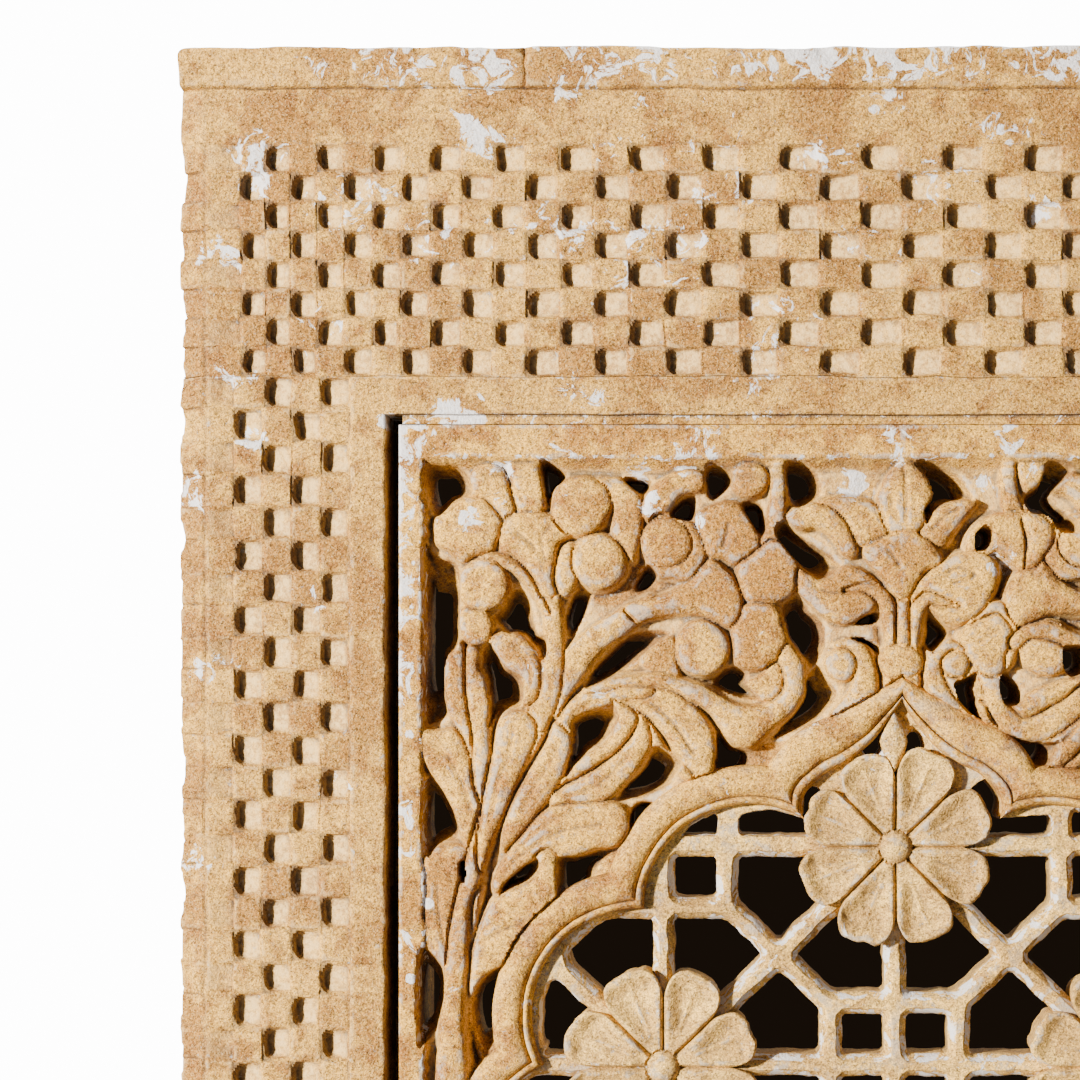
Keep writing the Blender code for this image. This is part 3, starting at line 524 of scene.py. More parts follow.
RIGHT_FORMS = forms("""
stem crest=3.2 width=7: 1009,456,8 1010,485,8 1016,516,10 /
body crest=4.0 width=7: 1018,462 1032,459 1046,461 1047,474 1038,486 1027,491 1021,480 /
body crest=3.4 width=9: 984,518 1003,512 1024,513 1030,530 1030,560 1022,570 1010,560 996,552 976,556
  966,545 972,528 /
body crest=2.8 width=8: 1024,514 1040,513 1054,526 1055,541 1046,556 1036,567 1026,566 1027,540 /
crease depth=1.6: 1026,532 1029,548 1034,563 /
stem crest=3.4 width=9: 1095,690,11 1070,712,12 1044,728,13 1020,730,12 1003,712,11 996,690,11 992,668,12 /
body crest=2.8 width=9: 961,633 969,626 988,617 1002,615 1014,629 1014,642 1008,654 1006,670 996,676 982,672
  970,658 961,645 /
crease depth=1.0: 976,644 990,634 1004,626 /
stem crest=3.8 width=7: 1018,642,7 1030,632,7 1050,630,8 1075,640,8 1100,650,9
""")

LEFT_HOLES = loops("""
425,464 440,463 456,463 468,478 470,494 455,500 435,516 428,502 424,482 /
422,545 434,556 456,563 458,600 456,641 444,660 443,690 446,714 432,724 422,716 421,630 /
492,618 500,608 506,596 512,588 523,592 531,611 536,632 546,637 546,654 541,658 534,646 521,634 506,633
  499,625 /
574,590 588,593 586,606 573,635 566,633 565,612 /
584,687 594,668 612,650 631,633 655,630 670,633 650,648 626,668 602,681 /
479,656 488,643 496,653 504,667 521,676 522,703 506,708 496,713 487,728 489,706 486,680 /
633,586 647,564 658,574 651,585 640,591 /
540,462 551,462 566,475 551,489 546,503 /
622,477 638,476 652,480 641,492 /
669,513 686,496 697,497 695,518 684,520 /
707,463 731,468 732,482 717,499 708,494 /
741,504 761,503 766,526 760,534 /
787,462 806,462 820,475 820,497 797,508 789,490 /
775,531 784,521 793,528 812,542 831,554 841,567 824,578 804,568 786,548 /
782,607 798,594 810,609 825,622 828,642 822,658 812,668 803,655 790,640 786,622 /
808,678 818,664 830,680 838,690 836,700 818,720 800,731 782,739 772,740 794,716 805,698 /
713,682 731,666 747,672 747,684 762,699 738,696 /
422,783 433,782 443,795 451,812 456,826 455,837 436,847 426,858 421,832 /
571,727 578,716 592,710 607,708 618,715 614,728 604,741 588,751 576,765 565,777 571,748 /
653,748 663,750 681,762 679,773 669,787 650,796 630,800 615,801 625,786 643,767 /
659,806 657,820 643,832 633,838 629,828 629,812 640,802 /
716,728 724,740 734,749 752,752 750,769 739,776 718,782 714,776 715,758 /
457,864 461,861 463,868 463,878 460,884 457,876 /
534,860 537,865 534,873 527,881 517,886 506,891 498,897 503,885 514,874 525,865 /
556,861 576,858 596,851 619,850 603,862 596,874 594,884 579,896 567,903 559,906 556,892 /
417,952 425,953 435,964 441,976 442,1002 436,1026 428,1040 419,1048 416,1030 415,994 /
504,966 507,972 504,985 501,1006 498,1035 496,1050 487,1058 479,1058 473,1040 470,1016 472,998 480,982
  490,973
""")

FINIAL_HOLES = loops("""
857,623 868,614 880,611 880,621 866,625 /
853,638 865,638 879,646 880,656 868,646 /
919,461 933,460 949,465 966,478 975,494 973,499 958,498 943,503 934,511 928,522 926,508 934,492 928,474 /
929,611 937,617 949,628 951,635 942,645 934,652 927,645 929,630
""")

TIP_HOLES = loops("""
864,752 870,741 878,733 890,728 886,740 883,752 874,760 /
909,737 917,733 924,739 926,751 918,761 910,763 908,750
""")

RIGHT_HOLES = loops("""
986,524 993,528 994,536 990,546 982,549 975,546 976,534 981,526 /
1049,460 1069,463 1075,470 1065,478 1052,493 1059,506 1080,521 1080,533 1060,529 1050,515 1030,510 1026,495
  1041,484 /
956,684 968,678 979,672 979,680 976,690 979,700 981,712 986,723 973,714 961,700 /
1003,677 1009,672 1017,680 1024,691 1023,704 1010,706 1004,697 /
1064,648 1073,645 1090,647 1092,668 1076,678 1066,668 /
1008,737 1022,740 1046,744 1062,742 1058,758 1044,770 1030,762 1016,750
""")


def both_halves(left: Array) -> Array:
    """A closed line from its left half, which starts on the axis: the half and its mirror image."""
    return np.vstack([left, left[::-1][:-1] * [-1, 1] + [2 * AXIS, 0]])


@dataclass
class ArchLine:
    """The lobed ogee arch on the carving grid: cusps on a circle, with a round lobe between each pair."""

    centre: tuple = (903.0, 1189.0)
    radius: float = 380.0
    first: float = math.radians(14.8)
    step: float = math.radians(28.35)
    lobes: int = 3
    lobe_radius: float = 107.0
    head: tuple = (848.0, 803.0)
    head_radius: float = 47.0
    head_turn: float = math.radians(113)
    tip: tuple = (903.0, 695.0)
    reach: float = 40.0

    def cusp(self, index: int) -> tuple:
        """A cusp: at the radius from the centre, turned from straight up by the first angle and steps."""
        angle, (u, v) = self.first + index * self.step, self.centre
        return (u - self.radius * math.sin(angle), v - self.radius * math.cos(angle))

    def lobe(self, index: int) -> tuple:
        """A lobe's centre, on the arch's side of the chord between two cusps."""
        a, b = self.cusp(index), self.cusp(index + 1)
        middle = ((a[0] + b[0]) / 2, (a[1] + b[1]) / 2)
        inset = math.sqrt(self.lobe_radius ** 2 - (math.dist(a, b) / 2) ** 2) / math.dist(middle, self.centre)
        return tuple(m + (c - m) * inset for m, c in zip(middle, self.centre))

    @staticmethod
    def crossing(first: tuple, second: tuple, near: tuple) -> tuple:
        """Where two circles (centre, radius) cross, nearest to a point."""
        (a, ar), (b, br) = first, second
        gap = math.dist(a, b)
        along = (ar ** 2 - br ** 2 + gap ** 2) / (2 * gap)
        aside = math.sqrt(max(ar ** 2 - along ** 2, 0))
        e = ((b[0] - a[0]) / gap, (b[1] - a[1]) / gap)
        both = [(a[0] + along * e[0] + s * e[1], a[1] + along * e[1] - s * e[0]) for s in (-aside, aside)]
        return min(both, key=lambda point: math.dist(point, near))

    def half(self, offset: float, fine: int = 22) -> Array:
        """The left half of the arch, from its tip to its springing.

        Args:
            offset: units outside the arch's edge; every offset gives the same number of points.
            fine: points on each arc.

        Returns:
            A row for each point: a quadratic curve from the tip to the head's shoulder, then the arcs
            of the head and the lobes, each cut where it meets the next.
        """
        circles = [(self.head, self.head_radius + offset)]
        circles += [(self.lobe(index), self.lobe_radius + offset) for index in range(self.lobes)]
        (hx, hy), head = circles[0]
        turn = self.head_turn
        end = np.array([hx + head * math.cos(turn), hy - head * math.sin(turn)])
        control = end + self.reach * np.array([math.sin(turn), math.cos(turn)])
        tip = np.array([self.tip[0], self.tip[1] - offset / 2])
        t = np.linspace(0, 1, fine)[:, None]
        rows = [(1 - t) ** 2 * tip + 2 * t * (1 - t) * control + t ** 2 * end]
        foot_v = self.cusp(self.lobes)[1]
        for index, (centre, radius) in enumerate(circles):
            if index < self.lobes:
                stop = self.crossing((centre, radius), circles[index + 1], self.cusp(index))
            else:
                stop = (centre[0] - math.sqrt(radius ** 2 - (foot_v - centre[1]) ** 2), foot_v)
            start = rows[-1][-1]
            first = math.atan2(start[1] - centre[1], start[0] - centre[0])
            swing = (first - math.atan2(stop[1] - centre[1], stop[0] - centre[0])) % (2 * math.pi)
            angles = first - swing * np.arange(1, fine + 1) / fine
            rows.append(np.array(centre) + radius * np.column_stack([np.cos(angles), np.sin(angles)]))
        return np.vstack(rows)

    def opening(self, offset: float, foot: float) -> Array:
        """The closed outline of the opening, its jambs straight down to a level of the grid."""
        left = self.half(offset)
        left = np.vstack([left, [left[-1, 0], foot]])
        return both_halves(left)


ARCH = ArchLine()


@dataclass
class Shape:
    """A mesh in the making: its points, its triangles, and its values at each point."""

    points: Array
    faces: Array
    marks: dict = field(default_factory=dict)

    def joined(self, other: "Shape") -> "Shape":
        """This shape and another in one, not welded to each other."""
        marks = {name: np.concatenate([values, other.marks[name]]) for name, values in self.marks.items()}
        return Shape(np.vstack([self.points, other.points]),
                     np.vstack([self.faces, other.faces + len(self.points)]), marks)


def world_points(x: Array, z: Array, depth: Array) -> Array:
    """Points in the panel's frame, from x, z and the depth behind the foremost plane, all in metres."""
    return np.column_stack([x, depth - THICKNESS / 2, z])


def split_quads(quads: Array) -> Array:
    """Two triangles for each quad, along its first diagonal."""
    return np.vstack([quads[:, [0, 1, 2]], quads[:, [0, 2, 3]]])


def cell_corners(columns: int, rows: int) -> Array:
    """The first corner of every cell of a grid, as an index."""
    return (np.arange(rows - 1)[:, None] * columns + np.arange(columns - 1)).ravel()


def tube_faces(rings: int, size: int) -> Array:
    """Triangles between closed rings of points that follow one another."""
    base, turn = np.arange(rings - 1)[:, None] * size, np.arange(size)
    beside = (turn + 1) % size
    return split_quads(np.stack([base + turn, base + beside, base + size + beside, base + size + turn], -1)
                       .reshape(-1, 4))


def rim_edges(faces: Array) -> Array:
    """The directed edges of triangles that have no twin the other way."""
    edges = np.vstack([faces[:, [0, 1]], faces[:, [1, 2]], faces[:, [2, 0]]]).astype(np.int64)
    count = int(faces.max()) + 1
    ahead, back = edges[:, 0] * count + edges[:, 1], edges[:, 1] * count + edges[:, 0]
    return edges[~np.isin(ahead, back)]


def within(middle: Array, starts: Array, ends: Array) -> Array:
    """Whether points lie inside a set of closed loops: a ray to the right crosses an odd number of edges.

    Args:
        middle: the points, two numbers each.
        starts: where the loops' edges start.
        ends: where they end.

    Returns:
        True for the points inside.
    """
    found = []
    rise = ends[:, 1] - starts[:, 1]
    lean = (ends[:, 0] - starts[:, 0]) / np.where(rise == 0, 1, rise)
    for block in np.array_split(middle, max(1, len(middle) // 1500)):
        x, y = block[:, :1], block[:, 1:]
        spans = (starts[:, 1] > y) != (ends[:, 1] > y)
        found.append((spans & (x < starts[:, 0] + (y - starts[:, 1]) * lean)).sum(1) % 2 == 1)
    return np.concatenate(found)


def fill(flat: Array, edges: Array, up: bool) -> Array:
    """Delaunay triangles inside closed loops, with the holes left open.

    Args:
        flat: the loops' points in the plane.
        edges: pairs of points that are joined.
        up: whether the triangles run against the clock where the second number grows upwards.

    Returns:
        The triangles.
    """
    made = delaunay_2d_cdt([Vector(p) for p in flat.tolist()], edges.tolist(), [], 1, 1e-9)
    origin = np.array([ids[0] if ids else -1 for ids in made[3]])
    triangles = origin[np.array([list(face) for face in made[2]])]
    triangles = triangles[(triangles >= 0).all(1)]
    triangles = triangles[within(flat[triangles].mean(1), flat[edges[:, 0]], flat[edges[:, 1]])]
    a, b, c = (flat[triangles[:, k]] for k in range(3))
    area = (b[:, 0] - a[:, 0]) * (c[:, 1] - a[:, 1]) - (b[:, 1] - a[:, 1]) * (c[:, 0] - a[:, 0])
    wrong = (area > 0) != up
    triangles[wrong] = triangles[wrong][:, ::-1]
    return triangles


def solid(front: Shape, back: float, levels: Sequence[float], side: Callable | None = None,
          dirt: float = 0.0) -> Shape:
    """Give a front sheet its walls and a flat back, so that it is closed.

    Args:
        front: the sheet, its triangles facing -y.
        back: depth of the back in metres.
        levels: shares of the way from the front to the back at which the walls have a ring; the last is 1.
        side: moves the rim's x and z at a share of the way; left out, the walls run straight back.
        dirt: how dark the walls are with painted shade and dirt, 0 to 1.

    Returns:
        The closed shape. The walls join each ring to the next, and the last ring is filled.
    """
    edges = rim_edges(front.faces)
    rim, inverse = np.unique(edges, return_inverse=True)
    pair = inverse.reshape(-1, 2)
    x, z = front.points[rim, 0], front.points[rim, 2]
    depth = front.points[rim, 1] + THICKNESS / 2
    points, faces, last = [front.points], [front.faces], rim
    count = len(front.points)
    for level in levels:
        mx, mz = side(x, z, level) if side else (x, z)
        points.append(world_points(mx, mz, depth + (back - depth) * level))
        ring = np.arange(len(rim)) + count
        count += len(rim)
        quads = np.column_stack([last[pair[:, 1]], last[pair[:, 0]], ring[pair[:, 0]], ring[pair[:, 1]]])
        faces.append(split_quads(quads))
        last = ring
    faces.append(last[fill(points[-1][:, [0, 2]], pair, False)])
    marks = {name: np.concatenate([values, np.full(len(rim) * len(levels), dirt if name == "dirt" else 0.0)])
             for name, values in front.marks.items()}
    return Shape(np.vstack(points), np.vstack(faces), marks)


def clipped_grid(us: Array, vs: Array, inside: Callable) -> tuple:
    """Cut a grid along the zero line of a distance.

    Args:
        us: the grid's first coordinates.
        vs: its second ones, growing downwards.
        inside: distance of points (u, v) from the edge, positive where there is stone.

    Returns:
        u, v of the points and the triangles. A triangle that the line crosses is cut where the distance
        runs through zero along its sides.
    """
    columns, rows = len(us), len(vs)
    gu, gv = (a.ravel() for a in np.meshgrid(us, vs))
    d = inside(gu, gv)
    near = 0.16 * (us[1:] - us[:-1]).min()
    d[np.abs(d) < near] = near
    corner = cell_corners(columns, rows)
    a, b, c, e = corner, corner + columns, corner + columns + 1, corner + 1
    swap = ((corner // columns + corner % columns) % 2 == 1)
    first = np.where(swap[:, None], np.column_stack([a, b, e]), np.column_stack([a, b, c]))
    second = np.where(swap[:, None], np.column_stack([b, c, e]), np.column_stack([a, c, e]))
    triangles = np.vstack([first, second])
    stone = d[triangles] > 0
    count = stone.sum(1)
    whole = triangles[count == 3]
    two, one = triangles[count == 2], triangles[count == 1]
    turn = np.argmin(d[two] > 0, axis=1)
    two = np.take_along_axis(two, (turn[:, None] + [1, 2, 0]) % 3, 1)
    turn = np.argmax(d[one] > 0, axis=1)
    one = np.take_along_axis(one, (turn[:, None] + [0, 1, 2]) % 3, 1)
    total = len(gu)
    cuts = np.vstack([two[:, [1, 2]], two[:, [0, 2]], one[:, [0, 1]], one[:, [0, 2]]])
    keys, index = np.unique(cuts[:, 0].astype(np.int64) * total + cuts[:, 1], return_inverse=True)
    start, end = keys // total, keys % total
    share = d[start] / (d[start] - d[end])
    place = total + index
    p, q, r, s = np.split(place, np.cumsum([len(two), len(two), len(one)]))
    faces = np.vstack([
        whole,
        np.column_stack([two[:, 0], two[:, 1], p]),
        np.column_stack([two[:, 0], p, q]),
        np.column_stack([one[:, 0], r, s]),
    ])
    gu = np.concatenate([gu, gu[start] + (gu[end] - gu[start]) * share])
    gv = np.concatenate([gv, gv[start] + (gv[end] - gv[start]) * share])
    used, faces = np.unique(faces, return_inverse=True)
    return gu[used], gv[used], faces.reshape(-1, 3)


def add_piece(name: str, shape: Shape, finish: "Finish", node: str,
              sharp: float = 42) -> bpy.types.Object:
    """Put a shape into the scene as a piece of the panel that stands for a solid.

    Args:
        name: the piece's name.
        shape: its points, triangles and values.
        finish: the finish that dresses it.
        node: the solid that it replaces.
        sharp: angle in degrees past which an edge is left sharp.

    Returns:
        The new object. Its `ridge` and `hollow` values come from how far the neighbours of a point lie
        below or above its tangent plane.
    """
    used, faces = np.unique(shape.faces, return_inverse=True)
    marks = {mark: values[used] for mark, values in shape.marks.items()}
    shape = Shape(shape.points[used], faces.reshape(-1, 3), marks)
    mesh = bpy.data.meshes.new(name)
    mesh.vertices.add(len(shape.points))
    mesh.vertices.foreach_set("co", shape.points.astype(np.float32).ravel())
    mesh.loops.add(3 * len(shape.faces))
    mesh.loops.foreach_set("vertex_index", shape.faces.astype(np.int32).ravel())
    mesh.polygons.add(len(shape.faces))
    mesh.polygons.foreach_set("loop_start", (np.arange(len(shape.faces)) * 3).astype(np.int32))
    mesh.update(calc_edges=True)
    mesh.validate()
    mesh.shade_smooth()
    mesh.set_sharp_from_angle(angle=math.radians(sharp))
    count = len(mesh.vertices)
    normals = np.empty(count * 3, np.float32)
    mesh.vertex_normals.foreach_get("vector", normals)
    normals = normals.reshape(-1, 3)
    ends = np.empty(len(mesh.edges) * 2, np.int32)
    mesh.edges.foreach_get("vertices", ends)
    a, b = ends.reshape(-1, 2).T
    step = shape.points[b] - shape.points[a]
    square = (step ** 2).sum(1) + 1e-9
    bend = np.bincount(a, (step * normals[a]).sum(1) / square, count)
    bend -= np.bincount(b, (step * normals[b]).sum(1) / square, count)
    ties = np.maximum(np.bincount(a, minlength=count) + np.bincount(b, minlength=count), 1)
    bend = bend / ties
    for _ in range(2):
        bend = 0.5 * bend + 0.5 * (np.bincount(a, bend[b], count) + np.bincount(b, bend[a], count)) / ties
    # Rubbed pale edges are kept out of the painted shade and dirt.
    marks["ridge"] = np.clip(-bend / SHARPEST, 0, 1) * (1 - 0.9 * marks.get("dirt", 0.0))
    marks["hollow"] = np.clip(bend / SHARPEST, 0, 1)
    behind = shape.points[:, 1] + THICKNESS / 2
    x, z = shape.points[:, 0] + 0.8 * behind, shape.points[:, 2] + 0.6 * behind
    patches = 0.5 + 1.7 * noise(x, z, 0.048, 801, 4) + 0.7 * noise(x, z, 0.012, 803, 3)
    marks["tone"] = patches + marks.get("tone", 0.0)
    for mark in ("ridge", "hollow", "lime", "floor", "dirt", "tone"):
        values = marks.get(mark, np.zeros(count))
        mesh.attributes.new(mark, "FLOAT", "POINT").data.foreach_set("value", values.astype(np.float32))
    piece = bpy.data.objects.new(name, mesh)
    bpy.context.scene.collection.objects.link(piece)
    mesh.materials.append(finish.material())
    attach(piece, "root")
    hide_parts(node)
    log.info("%s: %d triangles", name, len(shape.faces))
    return piece


# ---------------------------------------------------------------- materials


WHITE = (1.0, 1.0, 1.0, 1.0)


class Tree:
    """A node tree with short ways to add nodes and join them."""

    def __init__(self, tree: bpy.types.NodeTree) -> None:
        """Take hold of a tree."""
        self.tree = tree

    def add(self, kind: str, inputs: dict | None = None, **settings: object) -> bpy.types.Node:
        """Add a node.

        Args:
            kind: its type.
            inputs: a value or another node's output for its inputs, by name or number.
            settings: its own properties.

        Returns:
            The node.
        """
        node = self.tree.nodes.new(kind)
        for key, value in settings.items():
            setattr(node, key, value)
        for key, value in (inputs or {}).items():
            if isinstance(value, Socket):
                self.tree.links.new(value, node.inputs[key])
            else:
                node.inputs[key].default_value = value
        return node

    def noise(self, vector: Socket, scale: float, detail: float = 2, rough: float = 0.5,
              lean: float = 0) -> Socket:
        """A noise value at a scale, in features per metre."""
        inputs = {"Vector": vector, "Scale": scale, "Detail": detail, "Roughness": rough, "Distortion": lean}
        return self.add("ShaderNodeTexNoise", inputs).outputs["Fac"]

    def span(self, value: object, low: float, high: float, start: float = 0, end: float = 1) -> Socket:
        """Map low..high smoothly to start..end."""
        inputs = {"Value": value, "From Min": low, "From Max": high, "To Min": start, "To Max": end}
        return self.add("ShaderNodeMapRange", inputs, interpolation_type="SMOOTHSTEP").outputs["Result"]

    def math(self, operation: str, a: object, b: object = 0.0) -> Socket:
        """One sum of two values."""
        return self.add("ShaderNodeMath", {0: a, 1: b}, operation=operation).outputs[0]

    def times(self, a: object, b: object) -> Socket:
        """The product of two values."""
        return self.math("MULTIPLY", a, b)

    def plus(self, a: object, b: object) -> Socket:
        """The sum of two values."""
        return self.math("ADD", a, b)

    def mark(self, name: str) -> Socket:
        """One of the piece's own values."""
        return self.add("ShaderNodeAttribute", attribute_name=name).outputs["Fac"]

    def place(self) -> Socket:
        """Where on the piece a point is, in metres."""
        return self.add("ShaderNodeTexCoord").outputs["Object"]

    def put(self, value: Socket, node: bpy.types.Node, name: str) -> None:
        """Join an output to a node's input."""
        self.tree.links.new(value, node.inputs[name])

    def mix(self, share: object, a: object, b: object, blend: str = "MIX") -> Socket:
        """A mix of two colours by a share."""
        node = self.add("ShaderNodeMix", {"Factor": share, 6: a, 7: b}, data_type="RGBA", blend_type=blend)
        return node.outputs[2]


def new_group(name: str, inputs: dict, outputs: dict) -> tuple:
    """Start a node group.

    Args:
        name: the group's name.
        inputs: default of each input by its name; a number makes a value, four numbers a colour.
        outputs: kind of each output by its name.

    Returns:
        The group's tree, the outputs of its input node and its output node.
    """
    group = bpy.data.node_groups.new(name, "ShaderNodeTree")
    for label, default in inputs.items():
        kind = "NodeSocketColor" if isinstance(default, tuple) else "NodeSocketFloat"
        group.interface.new_socket(name=label, in_out="INPUT", socket_type=kind).default_value = default
    for label, kind in outputs.items():
        group.interface.new_socket(name=label, in_out="OUTPUT", socket_type=f"NodeSocket{kind}")
    tree = Tree(group)
    return tree, tree.add("NodeGroupInput").outputs, tree.add("NodeGroupOutput")


class Groups:
    """The node groups that the finishes share, each built once."""

    made: ClassVar[dict] = {}

    @classmethod
    def get(cls, name: str) -> bpy.types.NodeTree:
        """The group of that name, built at its first use."""
        if name not in cls.made:
            cls.made[name] = getattr(cls, name)()
        return cls.made[name]

    @staticmethod
    def sandstone() -> bpy.types.NodeTree:
        """Body of the stone: broad patina, ochre blotches, and a fine sugary grain."""
        tree, given, out = new_group(
            "sandstone",
            {"Base": WHITE, "Patina": WHITE, "Blotch": WHITE, "Patina Amount": 0.5, "Blotch Amount": 0.3,
             "Grain": 0.2},
            {"Color": "Color", "Height": "Float"})
        place = tree.place()
        tone = tree.mark("tone")
        cloud = tree.times(tree.math("SUBTRACT", tree.noise(place, 105, 5, 0.72, 0.6), 0.5), 3.2)
        share = tree.span(tree.plus(tone, cloud), 0.1, 1.1)
        share = tree.times(share, given["Patina Amount"])
        colour = tree.mix(share, given["Base"], given["Patina"])
        middle = tree.noise(place, 62, 5, 0.68, 0.5)
        share = tree.times(tree.span(middle, 0.47, 0.68), given["Blotch Amount"])
        colour = tree.mix(share, colour, given["Blotch"])
        small = tree.noise(place, 380, 3, 0.7)
        grains = tree.add("ShaderNodeTexVoronoi", {"Vector": place, "Scale": 1350.0})
        parts = tree.add("ShaderNodeSeparateColor", {0: grains.outputs["Color"]}).outputs
        speck = tree.math("SUBTRACT", parts[0], 0.5)
        broken = tree.times(tree.math("SUBTRACT", small, 0.5), 3.4)
        shade = tree.plus(tree.times(speck, 1.5), broken)
        shade = tree.plus(tree.times(shade, given["Grain"]), 1.0)
        shade = tree.math("MAXIMUM", shade, 0.22)
        grey = tree.add("ShaderNodeCombineColor", {0: shade, 1: shade, 2: shade}).outputs[0]
        colour = tree.mix(1.0, colour, grey, "MULTIPLY")
        red = tree.span(parts[1], 0.62, 1.0, 0.0, 0.30)
        colour = tree.mix(red, colour, given["Blotch"])
        pale = tree.span(parts[2], 0.66, 1.0, 0.0, 0.42)
        colour = tree.mix(pale, colour, (0.60, 0.39, 0.15, 1))
        tree.put(colour, out, "Color")
        fine = tree.noise(place, 640, 3, 0.65)
        tree.put(fine, out, "Height")
        return tree.tree

    @staticmethod
    def weathering() -> bpy.types.NodeTree:
        """Wear, dust and painted shade: rubbed edges turn pale, hollows hold grey lime dust, and hollows are
        darkened as painted shade with some soot.
        """
        tree, given, out = new_group(
            "weathering",
            {"Color": WHITE, "Edge": WHITE, "Dust": WHITE, "Soot": WHITE, "Edge Amount": 0.5,
             "Dust Amount": 0.5, "Soot Amount": 0.4},
            {"Color": "Color"})
        place = tree.place()
        ridge = tree.mark("ridge")
        hollow = tree.mark("hollow")
        streaks = tree.noise(place, 95, 5, 0.7, 0.8)
        worn = tree.noise(place, 48, 4, 0.7, 0.5)
        edge = tree.times(tree.span(ridge, 0.10, 0.50), tree.span(worn, 0.48, 0.56))
        edge = tree.times(edge, tree.span(streaks, 0.40, 0.55))
        colour = tree.mix(tree.times(edge, given["Edge Amount"]), given["Color"],
                          given["Edge"])
        # Painted shade with some soot: the sharper a hollow, the more it is darkened towards the soot colour.
        soot = tree.times(tree.span(hollow, 0.18, 0.85), given["Soot Amount"])
        colour = tree.mix(soot, colour, given["Soot"])
        specks = tree.noise(place, 210, 4, 0.75, 0.6)
        relief = tree.plus(tree.times(ridge, 0.10), tree.times(hollow, 0.13))
        dust = tree.span(tree.plus(specks, relief), 0.635, 0.70)
        dust = tree.times(dust, tree.span(streaks, 0.46, 0.60))
        dust = tree.times(dust, given["Dust Amount"])
        colour = tree.mix(dust, colour, given["Dust"])
        tree.put(colour, out, "Color")
        return tree.tree

    @staticmethod
    def limewash() -> bpy.types.NodeTree:
        """Remains of lime plaster: ragged patches where the piece's `lime` value and the noise add up."""
        tree, given, out = new_group(
            "limewash",
            {"Color": WHITE, "Plaster": WHITE, "Spread": 0.0},
            {"Color": "Color"})
        place = tree.place()
        lime = tree.mark("lime")
        ragged = tree.noise(place, 75, 6, 0.68, 1.1)
        ridge = tree.mark("ridge")
        hollow = tree.mark("hollow")
        relief = tree.times(tree.plus(ridge, hollow), 0.06)
        total = tree.plus(tree.plus(ragged, relief), tree.times(lime, 0.50))
        total = tree.plus(total, given["Spread"])
        mask = tree.span(total, 0.735, 0.775)
        grain = tree.span(tree.noise(place, 420, 3, 0.6), 0.3, 0.62, 0.72, 1.0)
        mask = tree.times(mask, grain)
        tree.put(tree.mix(mask, given["Color"], given["Plaster"]), out, "Color")
        return tree.tree


class Tone(Enum):
    """Which part of the panel a finish is for."""

    BORDER = "border stone"
    SLAB = "slab stone"
    LATTICE = "lattice stone"


@dataclass(frozen=True)
class Finish:
    """Hand-cut sandstone with patina, worn edges, dust in its hollows, remains of lime plaster, and painted
    shade with soot and dirt in its pits, recesses and hollows.
    """

    tone: Tone
    base: tuple
    patina: tuple
    blotch: tuple
    edge: tuple
    floor: tuple = (0.64, 0.42, 0.16, 1)
    dust: tuple = (0.33, 0.29, 0.24, 1)
    plaster: tuple = (0.60, 0.57, 0.54, 1)
    # The dark colour of the painted shade, with soot and dirt.
    soot: tuple = (0.056, 0.045, 0.034, 1)
    patina_amount: float = 0.95
    blotch_amount: float = 0.7
    grain: float = 0.72
    edge_amount: float = 0.55
    dust_amount: float = 0.8
    soot_amount: float = 0.62
    lime_spread: float = 0.0
    bump: float = 0.9
    bump_height: float = 0.0013
    made: ClassVar[dict] = {}

    def material(self) -> bpy.types.Material:
        """The finish as one material, built once: stone, its sunk floors, painted shade and dirt, wear, lime,
        and their bumps.
        """
        if self.tone not in self.made:
            self.made[self.tone] = bpy.data.materials.new(self.tone.value)
            self.made[self.tone].use_nodes = True
            self.build(Tree(self.made[self.tone].node_tree))
        return self.made[self.tone]

    def build(self, tree: Tree) -> None:
        """Lay the groups out between the piece's own values and the shader."""
        shader = tree.tree.nodes["Principled BSDF"]
        shader.inputs["Roughness"].default_value = 0.93
        shader.inputs["Specular IOR Level"].default_value = 0.2
        stone = tree.add("ShaderNodeGroup", {
            "Base": self.base, "Patina": self.patina, "Blotch": self.blotch, "Grain": self.grain,
            "Patina Amount": self.patina_amount, "Blotch Amount": self.blotch_amount,
        }, node_tree=Groups.get("sandstone")).outputs
        floor = tree.mark("floor")
        dirt = tree.mark("dirt")
        place = tree.place()
        mottled = tree.span(tree.noise(place, 240, 4, 0.7), 0.40, 0.60, 0.30, 0.85)
        sunk = tree.mix(tree.times(floor, mottled), stone["Color"], self.floor)
        # Painted shade and dirt: this value darkens the colour towards the soot colour, as shadow in the
        # pits, recesses and hole walls and as dirt in the joints and tool strokes.
        sunk = tree.mix(tree.times(dirt, 0.6), sunk, self.soot)
        # Wear, dust, and painted shade in the hollows.
        worn = tree.add("ShaderNodeGroup", {
            "Color": sunk, "Edge": self.edge, "Dust": self.dust, "Soot": self.soot,
            "Edge Amount": self.edge_amount, "Dust Amount": self.dust_amount, "Soot Amount": self.soot_amount,
        }, node_tree=Groups.get("weathering")).outputs
        lime = tree.add("ShaderNodeGroup", {
            "Color": worn["Color"], "Plaster": self.plaster, "Spread": self.lime_spread,
        }, node_tree=Groups.get("limewash")).outputs
        tree.put(lime["Color"], shader, "Base Color")
        bump = tree.add("ShaderNodeBump", {"Strength": self.bump, "Distance": self.bump_height,
                                           "Height": stone["Height"]})
        tree.put(bump.outputs["Normal"], shader, "Normal")


# ---------------------------------------------------------------- the border


